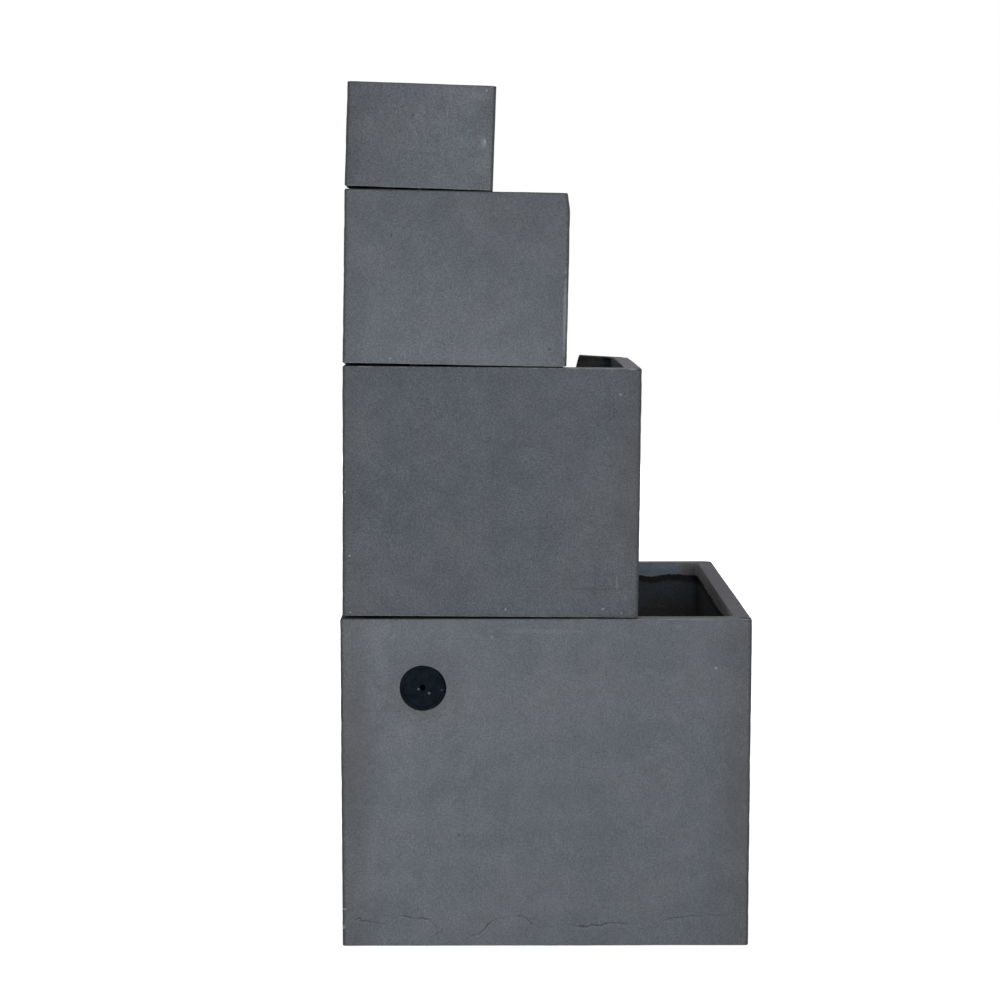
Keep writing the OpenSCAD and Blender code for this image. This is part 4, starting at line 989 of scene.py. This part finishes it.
def filleted(corners):
    # A closed outline of (across, up, radius): each corner is replaced by an arc that touches both sides
    steps, path = 4, np.array([c[:2] for c in corners], float)
    out = []
    for k, (_, _, radius) in enumerate(corners):
        point, back, on = path[k], path[k - 1] - path[k], path[(k + 1) % len(path)] - path[k]
        if not radius:
            out.append(point)
            continue
        back, on = back / np.linalg.norm(back), on / np.linalg.norm(on)
        half = math.acos(float(np.clip(back @ on, -1, 1))) / 2
        way = (back + on) / np.linalg.norm(back + on)
        centre = point + way * radius / math.sin(half)
        first = point + back * radius / math.tan(half) - centre
        last = point + on * radius / math.tan(half) - centre
        swing = math.atan2(first[0] * last[1] - first[1] * last[0], first @ last)
        for t in np.linspace(0, swing, steps + 1):
            out.append(centre + [first[0] * math.cos(t) - first[1] * math.sin(t),
                                 first[0] * math.sin(t) + first[1] * math.cos(t)])
    return np.array(out)


def evened(outline, step, closed=True):
    # more points along the long sides of an outline, so that ripples and shading stay even; points that
    # coincide with the next one are left out
    outline = outline[np.append(np.linalg.norm(np.diff(outline, axis=0), axis=1) > 1e-6, True)]
    ends = np.roll(outline, -1, 0) if closed else outline[1:]
    starts = outline if closed else outline[:-1]
    parts = []
    for a, b in zip(starts, ends):
        count = max(1, math.ceil(np.linalg.norm(b - a) / step))
        parts.append(a + (b - a) * np.linspace(0, 1, count, endpoint=False)[:, None])
    return np.concatenate(parts if closed else parts + [outline[-1:]])


def lathe(outline, count=96, ripple=None, closed=True):
    # An outline of (radius, height) turned about Z: x = r cos t, y = r sin t, z = h. ripple(r, h, t) gives
    # the radius of each point. An open outline is capped at both ends.
    turn = np.linspace(0, 2 * np.pi, count, endpoint=False)[None]
    radius, height = outline[:, :1] + 0 * turn, outline[:, 1:] + 0 * turn
    if ripple:
        radius = ripple(radius, height, turn)
    points = np.stack([radius * np.cos(turn), radius * np.sin(turn), height], -1).reshape(-1, 3)
    faces = gridQuads(len(outline), count, closed, True)
    if not closed:
        faces.append(list(range(count - 1, -1, -1)))
        faces.append([(len(outline) - 1) * count + k for k in range(count)])
    return points, faces


def placed(shape, matrix):
    # a shape's points in millimetres, taken into the row frame in metres
    return moved(shape[0] * mm, matrix), shape[1]


def joined(shapes):
    # several placed shapes as one
    points, faces, first = [], [], 0
    for p, f in shapes:
        points.append(p)
        faces += [[i + first for i in face] for face in f]
        first += len(p)
    return np.concatenate(points), faces


def softBox(size, radius, step, dent=None):
    # Six grids round a box of this size, centred. Each point is moved to radius from the nearest point of the
    # box that is smaller by radius all round, so that edges and corners are round. dent(points) gives a depth.
    half = (np.array(size, float) / 2).round(4)
    core = half - radius
    points, faces, first = [], [], 0
    for axis in range(3):
        u, v = (axis + 1) % 3, (axis + 2) % 3
        lines = [np.unique(np.concatenate([np.linspace(-half[k], -core[k], 4), spread([-core[k], core[k]], step),
                                           np.linspace(core[k], half[k], 4)]).round(6)) for k in (u, v)]
        for sign in (-1, 1):
            grid = np.empty((len(lines[0]), len(lines[1]), 3))
            grid[..., u], grid[..., v] = np.meshgrid(*lines, indexing="ij")
            grid[..., axis] = sign * half[axis]
            faces += [f[::-sign] for f in gridQuads(*grid.shape[:2], False, False, first)]
            points.append(grid.reshape(-1, 3))
            first += len(points[-1])
    points = np.concatenate(points)
    near = np.clip(points, -core, core)
    away = (points - near) / np.linalg.norm(points - near, axis=1, keepdims=True)
    points = near + away * radius
    if dent:
        points = points - away * dent(points)[:, None]
    points, index = np.unique(points.round(5), axis=0, return_inverse=True)
    return points, index.reshape(-1)[np.array(faces)].tolist()


def refined(node, bevel, finish, segments=2):
    # The solid's own form with rounded edges: a copy of its mesh is merged, its flat faces are joined, and a
    # bevel runs along its sharp edges
    crease = 38
    mesh = nodes[node].data.copy()
    work = bmesh.new()
    work.from_mesh(mesh)
    bmesh.ops.remove_doubles(work, verts=work.verts, dist=2e-6)
    bmesh.ops.dissolve_limit(work, angle_limit=math.radians(0.6), verts=work.verts, edges=work.edges)
    bmesh.ops.dissolve_degenerate(work, dist=1e-5, edges=work.edges)
    bmesh.ops.recalc_face_normals(work, faces=work.faces)
    work.to_mesh(mesh)
    work.free()
    piece = newPiece(node, mesh, made[finish], crease)
    if bevel:
        rounding = piece.modifiers.new("edges", "BEVEL")
        rounding.width = bevel * mm
        rounding.segments = segments
        rounding.limit_method = "ANGLE"
        rounding.angle_limit = math.radians(crease)
        rounding.harden_normals = True
        rounding.use_clamp_overlap = True


def shaped(node, shape, finish, crease=40):
    meshPiece(node, *shape, made[finish], finishes[finish]["slot"], crease=crease)


# Cable bung: a rubber plug with a dished face, shallow ribs round its barrel and a cable bore
bung = {"place": (95, 1.6, 307), "radius": 25.95, "length": 24, "dish": 1.2, "edge": 3, "bore": 3.4,
        "ribs": 6, "ribDepth": 0.45, "sag": (0.175, 14, 71)}


def bungShape():
    # drawn with its face at height 0 and its barrel going up; turned so that the face looks along -Y
    r, length, dish = bung["radius"], bung["length"], bung["dish"]
    outline = filleted([(r - bung["edge"] - 0.5, dish, 0.5), (r - bung["edge"], 0, 0.5), (r, 0, 0.9),
                        (r, length, 1.6), (bung["bore"], length, 0.6), (bung["bore"], dish, 0.5)])

    def ripple(radius, height, turn):
        rib = unit(np.sin(2 * np.pi * bung["ribs"] * (height - 3) / (length - 3)))
        groove = rib * unit((height - 3) / 2) * unit((length - 2 - height) / 2)
        return radius - np.where(radius > r - 0.2, bung["ribDepth"] * groove, 0)

    points, faces = lathe(evened(outline, 1.2), 128, ripple)
    across = np.hypot(points[:, 0], points[:, 1])
    flat = (points[:, 2] < 3) & (across < r - bung["edge"] - 0.6) & (across > bung["bore"] + 0.6)
    points[:, 2] += np.where(flat, dents(points, *bung["sag"]), 0)
    return points, faces


bungFrame = shifted(corner, bung["place"]) @ Matrix.Rotation(math.radians(-90), 4, "X")
shaped("cable_bung", placed(bungShape(), bungFrame), "bungRubber", 50)
print("bung made")


# Pads between the tiers: four strips on each seam, thicker at the left where the seam opens
pads = [
    {"node": "pads_on_base", "frame": corner, "left": 2.4, "near": 3, "side": 342, "wall": 21,
     "seat": (342, 21), "rim": 388, "lean": 0.5},
    {"node": "pads_on_three", "frame": inThree, "left": 0, "near": 1.5, "side": 256, "wall": 20,
     "seat": (254.5, 18), "rim": 288, "lean": 0.6},
    {"node": "pads_on_two", "frame": inTwo, "left": 0, "near": 1.5, "side": 168, "wall": 18,
     "seat": (166.5, 16), "rim": 197, "lean": 0.9},
]
padSize = {"length": 30, "width": 12, "fromEnd": 42, "closed": 0.6, "gap": 0.2, "round": 0.22}
for pad in pads:
    strips = []
    for x in (padSize["fromEnd"], pad["side"] - padSize["fromEnd"]):
        opening = (pad["side"] - x - padSize["length"] / 2) * math.tan(math.radians(pad["lean"]))
        thick = padSize["closed"] + opening - padSize["gap"]
        for y in (pad["near"] + (pad["wall"] - pad["near"]) / 2, pad["seat"][0] - pad["seat"][1] / 2):
            shape = softBox((padSize["length"], padSize["width"], thick), min(padSize["round"], thick * 0.4), 1.5)
            strips.append(placed(shape, shifted(pad["frame"], (pad["left"] + x, y, pad["rim"] + thick / 2))))
    shaped(pad["node"], joined(strips), "padRubber")
print("pads made")


# Hose grommets: a collar in the floor's hole with a rounded lip on each face
grommets = [
    {"node": "hose_grommet_three", "frame": inThree, "place": (78.303, 87, 187), "floor": 16},
    {"node": "hose_grommet_two", "frame": inTwo, "place": (82.847, 85.5, 120), "floor": 15},
]
grommetSize = {"bore": 9.7, "barrel": 14, "lip": 18, "thick": 3, "clear": 0.05}
for grommet in grommets:
    bore, barrel, lip, thick, clear = grommetSize.values()
    top = grommet["floor"]
    outline = filleted([(bore, top + thick, 1.2), (bore, -thick, 1.2), (lip, -thick, 1.4), (lip, -clear, 0.6),
                        (barrel, -clear, 0), (barrel, top + clear, 0), (lip, top + clear, 0.6),
                        (lip, top + thick, 1.4)])
    shape = lathe(evened(outline, 2.5))
    shaped(grommet["node"], placed(shape, shifted(grommet["frame"], grommet["place"])), "blackRubber")
print("grommets made")


# Outlet of the top tier: threaded stem with its flange, spout and hose barb, and the rings and nut on it
barb = {"way": 4.6, "core": 5.8, "ridge": 6.45, "long": 22, "ridges": 3}
outlet = {"axis": (84, 84, 0), "stem": 9.8, "foot": 36.5, "floorTop": 62, "gasket": 2, "flange": 17, "thick": 3,
          "spout": 8, "spoutHigh": 18, "pitch": 1.8, "thread": 0.55}
outletFrame = shifted(inTop, outlet["axis"])


def barbOutline(foot, up):
    # radii along a hose barb that points up (1) or down (-1) from foot: each ridge narrows towards the tip
    core, one = barb["core"], barb["long"] / barb["ridges"]
    pairs = []
    for k in range(barb["ridges"]):
        start = one * (k + 1 / 3)
        pairs += [(core, one * k), (core, start - 0.05), (barb["ridge"], start + 0.15), (core, one * (k + 1))]
    pairs += [(core - 0.35, barb["long"]), (barb["way"] + 0.2, barb["long"])]
    return [(r, foot + up * z) for r, z in pairs]


def outletShape():
    stem, foot, flange, spout, way = outlet["stem"], outlet["foot"], outlet["flange"], outlet["spout"], barb["way"]
    base = outlet["floorTop"] + outlet["gasket"]
    ledge = base + outlet["thick"]
    top = ledge + outlet["spoutHigh"]
    outline = barbOutline(foot, -1)[::-1]
    outline += [(barb["core"], foot), (stem - 0.8, foot), (stem, foot + 0.8), (stem, base), (flange - 0.5, base),
                (flange, base + 0.5), (flange, ledge - 0.9), (flange - 0.9, ledge), (spout + 0.8, ledge),
                (spout, ledge + 0.8), (spout, top - 0.7), (spout - 0.7, top), (way + 0.7, top), (way, top - 0.7),
                (way, foot - barb["long"] + 0.2)]

    def ripple(radius, height, turn):
        phase = (height / outlet["pitch"] + turn / (2 * np.pi)) % 1
        groove = 1 - np.abs(2 * phase - 1)
        band = unit((height - foot - 0.8) / 1.5) * unit((base - 1.5 - height) / 1.5)
        turned = radius - outlet["thread"] * groove * band * (np.abs(radius - stem) < 0.05)
        flutes = 0.25 * (0.5 + 0.5 * np.cos(16 * turn)) * (radius > flange - 0.6)
        rings = 0.35 * np.exp(-((height - top + 5) / 0.5) ** 2) * (np.abs(radius - spout) < 0.05)
        return turned - flutes - rings

    return lathe(evened(np.array(outline, float), 0.5), ripple=ripple)


shaped("outlet_fitting", placed(outletShape(), outletFrame), "mouldedPlastic")
bore = outlet["stem"] + 0.05
for node, low, high, r in (("outlet_gasket", 62, 64, 17), ("outlet_washer", 46.5, 48, 15)):
    outline = filleted([(bore, high, 0.3), (bore, low, 0.3), (r, low, 0.6), (r, high, 0.6)])
    shaped(node, placed(lathe(evened(outline, 1.5)), outletFrame), "blackRubber")
refined("outlet_nut", 0.6, "mouldedPlastic", 3)
print("outlet made")


# Riser hose: straight up from the pump, a gentle bend of 2 degrees, and straight up to the outlet's barb
hose = {"x": 69.158, "y": 90, "foot": 116, "bend": 198, "radius": 400, "lean": 2.0, "top": (93.939, 914.604),
        "outer": 9, "bore": 6.5, "sides": 64, "step": 7, "rings": 100, "wave": 0.10}


def hoseShape():
    # Rings square to the line (x, z, lean): x + r cos a cos lean, y + r sin a, z - r cos a sin lean
    low = np.array([[hose["x"], z, 0.0] for z in np.arange(hose["foot"], hose["bend"], hose["step"])])
    lean, radius = np.radians(np.linspace(0, hose["lean"], 6)), hose["radius"]
    bend = np.stack([hose["x"] + radius * (1 - np.cos(lean)), hose["bend"] + radius * np.sin(lean), lean], 1)
    t = np.linspace(0, 1, hose["rings"])[1:, None]
    high = np.hstack([bend[-1, :2] * (1 - t) + np.array(hose["top"]) * t, lean[-1] + 0 * t])
    line = np.concatenate([low, bend, high])
    a = np.linspace(0, 2 * np.pi, hose["sides"], endpoint=False)[None]

    def ring(stations, r):
        x, z, lean = (stations[:, k:k + 1] for k in range(3))
        return np.stack([x + r * np.cos(a) * np.cos(lean), hose["y"] + r * np.sin(a) + 0 * x,
                         z - r * np.cos(a) * np.sin(lean)], -1)

    wave = hose["wave"] * (0.5 + 0.5 * np.sin(line[:, 1:2] / 23.0) * np.sin(line[:, 1:2] / 9.0 + 1))
    points = np.concatenate([ring(line, hose["outer"] - wave), ring(line[::-1], hose["bore"])])
    return points.reshape(-1, 3), gridQuads(len(points), hose["sides"], True, True)


shaped("riser_hose", placed(hoseShape(), corner), "hoseVinyl", 60)
print("hose made")


# The pump stands in the base; heights are from the base's floor and depths from its outlet's axis
pumpFrame = shifted(corner, (69.158, 90, 24))
adapter = {"low": 79, "high": 92, "outer": 12.05, "pipe": 9.05, "depth": 8, "flutes": 20, "flute": 0.35}


def adapterShape():
    low, high, outer, pipe = (adapter[key] for key in ("low", "high", "outer", "pipe"))
    way, shoulder = barb["way"], low + adapter["depth"]
    outline = [(way, high + barb["long"]), (way, shoulder), (pipe, shoulder), (pipe, low + 0.5), (pipe + 0.5, low),
               (outer - 0.6, low), (outer, low + 0.6), (outer, high - 1.2), (outer - 1.2, high)]

    def ripple(radius, height, turn):
        band = unit(height - low - 2) * unit(high - 2.5 - height)
        return radius - adapter["flute"] * (0.5 + 0.5 * np.cos(adapter["flutes"] * turn)) * band \
            * (radius > outer - 0.05)

    return lathe(evened(np.array(outline + barbOutline(high, 1), float), 0.9), 120, ripple)


shaped("pump_outlet_adapter", placed(adapterShape(), pumpFrame), "mouldedPlastic")
for node, bevel, finish in (
        ("hose_clamp", 0.25, "clampSteel"), ("hose_clamp_screw", 0.25, "clampSteel"),
        ("pump_housing", 0.5, "mouldedPlastic"), ("pump_back_plate", 0.5, "mouldedPlastic"),
        ("pump_volute", 0.5, "mouldedPlastic"), ("pump_front_cover", 0.6, "mouldedPlastic"),
        ("pump_flow_dial", 0.35, "dialPlastic"), ("pump_stator_core", 0.25, "coreSteel"),
        ("pump_stator_coil", 1.4, "coilCopper"), ("pump_bush_rear", 0.2, "blackRubber"),
        ("pump_bush_front", 0.2, "blackRubber"), ("pump_shaft", 0.25, "shaftCeramic"),
        ("pump_rotor_magnet", 0.5, "sinteredMagnet"), ("pump_impeller", 0.3, "impellerPlastic"),
        ("pump_seal_ring", 0, "blackRubber")):
    refined(node, bevel, finish)
print("pump made")


# Filter foam: a soft block with a rough, open-celled surface
foam = {"round": 2.0, "step": 1.6, "rough": (0.35, 3.2, 91)}
low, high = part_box("pump_filter_foam")
shape = softBox([v / mm for v in high - low], foam["round"], foam["step"], lambda p: dents(p, *foam["rough"]))
shaped("pump_filter_foam", placed(shape, Matrix.Translation((low + high) / 2)), "filterFoam", 70)


# Suction cups under the pump: a bell with a thin lip and a stud above it
cups = {"x": (-16.5, 16.5), "y": (-47.5, -2.8), "outline": [
    (0.4, 3.0, 0), (5.5, 2.3, 2), (8.6, 0, 0.2), (11, 0, 0.3), (10.9, 1.2, 0.4), (5.5, 4.5, 1.6), (5.5, 9, 0.5),
    (0.4, 9, 0)]}
cup = lathe(evened(filleted(cups["outline"]), 1.2, False), 72, closed=False)
cupShapes = [placed(cup, shifted(pumpFrame, (x, y, 0))) for x in cups["x"] for y in cups["y"]]
shaped("pump_suction_cups", joined(cupShapes), "blackRubber")


# Cable gland: a ribbed, narrowing boot with a blind bore
gland = {"place": (18.5, -49.5, 75), "foot": 6.5, "tip": 4.65, "high": 16, "bore": 3.4, "blind": 2.5, "ribs": 5,
         "ribDepth": 0.6}


def glandShape():
    _, foot, tip, high, bore, blind, ribs, ribDepth = gland.values()
    outline = filleted([(0.3, 0, 0), (foot, 0, 0.3), (tip, high, 0.4), (bore, high, 0.3), (bore, blind, 0.3),
                        (0.3, blind, 0)])

    def ripple(radius, height, turn):
        skin = foot + (tip - foot) * height / high
        wave = unit(np.sin(2 * np.pi * ribs * (height - 2) / (high - 3)))
        inside = (height > 2) & (height < high - 1) & (np.abs(radius - skin) < 0.05)
        return radius - ribDepth * wave * inside

    return lathe(evened(outline, 0.5, False), 72, ripple, False)


shaped("pump_cable_gland", placed(glandShape(), shifted(pumpFrame, gland["place"])), "blackRubber")
print("small pieces made")

left = [name for name, node in nodes.items() if not node.hide_render]
print("nodes shown as they are:", left)
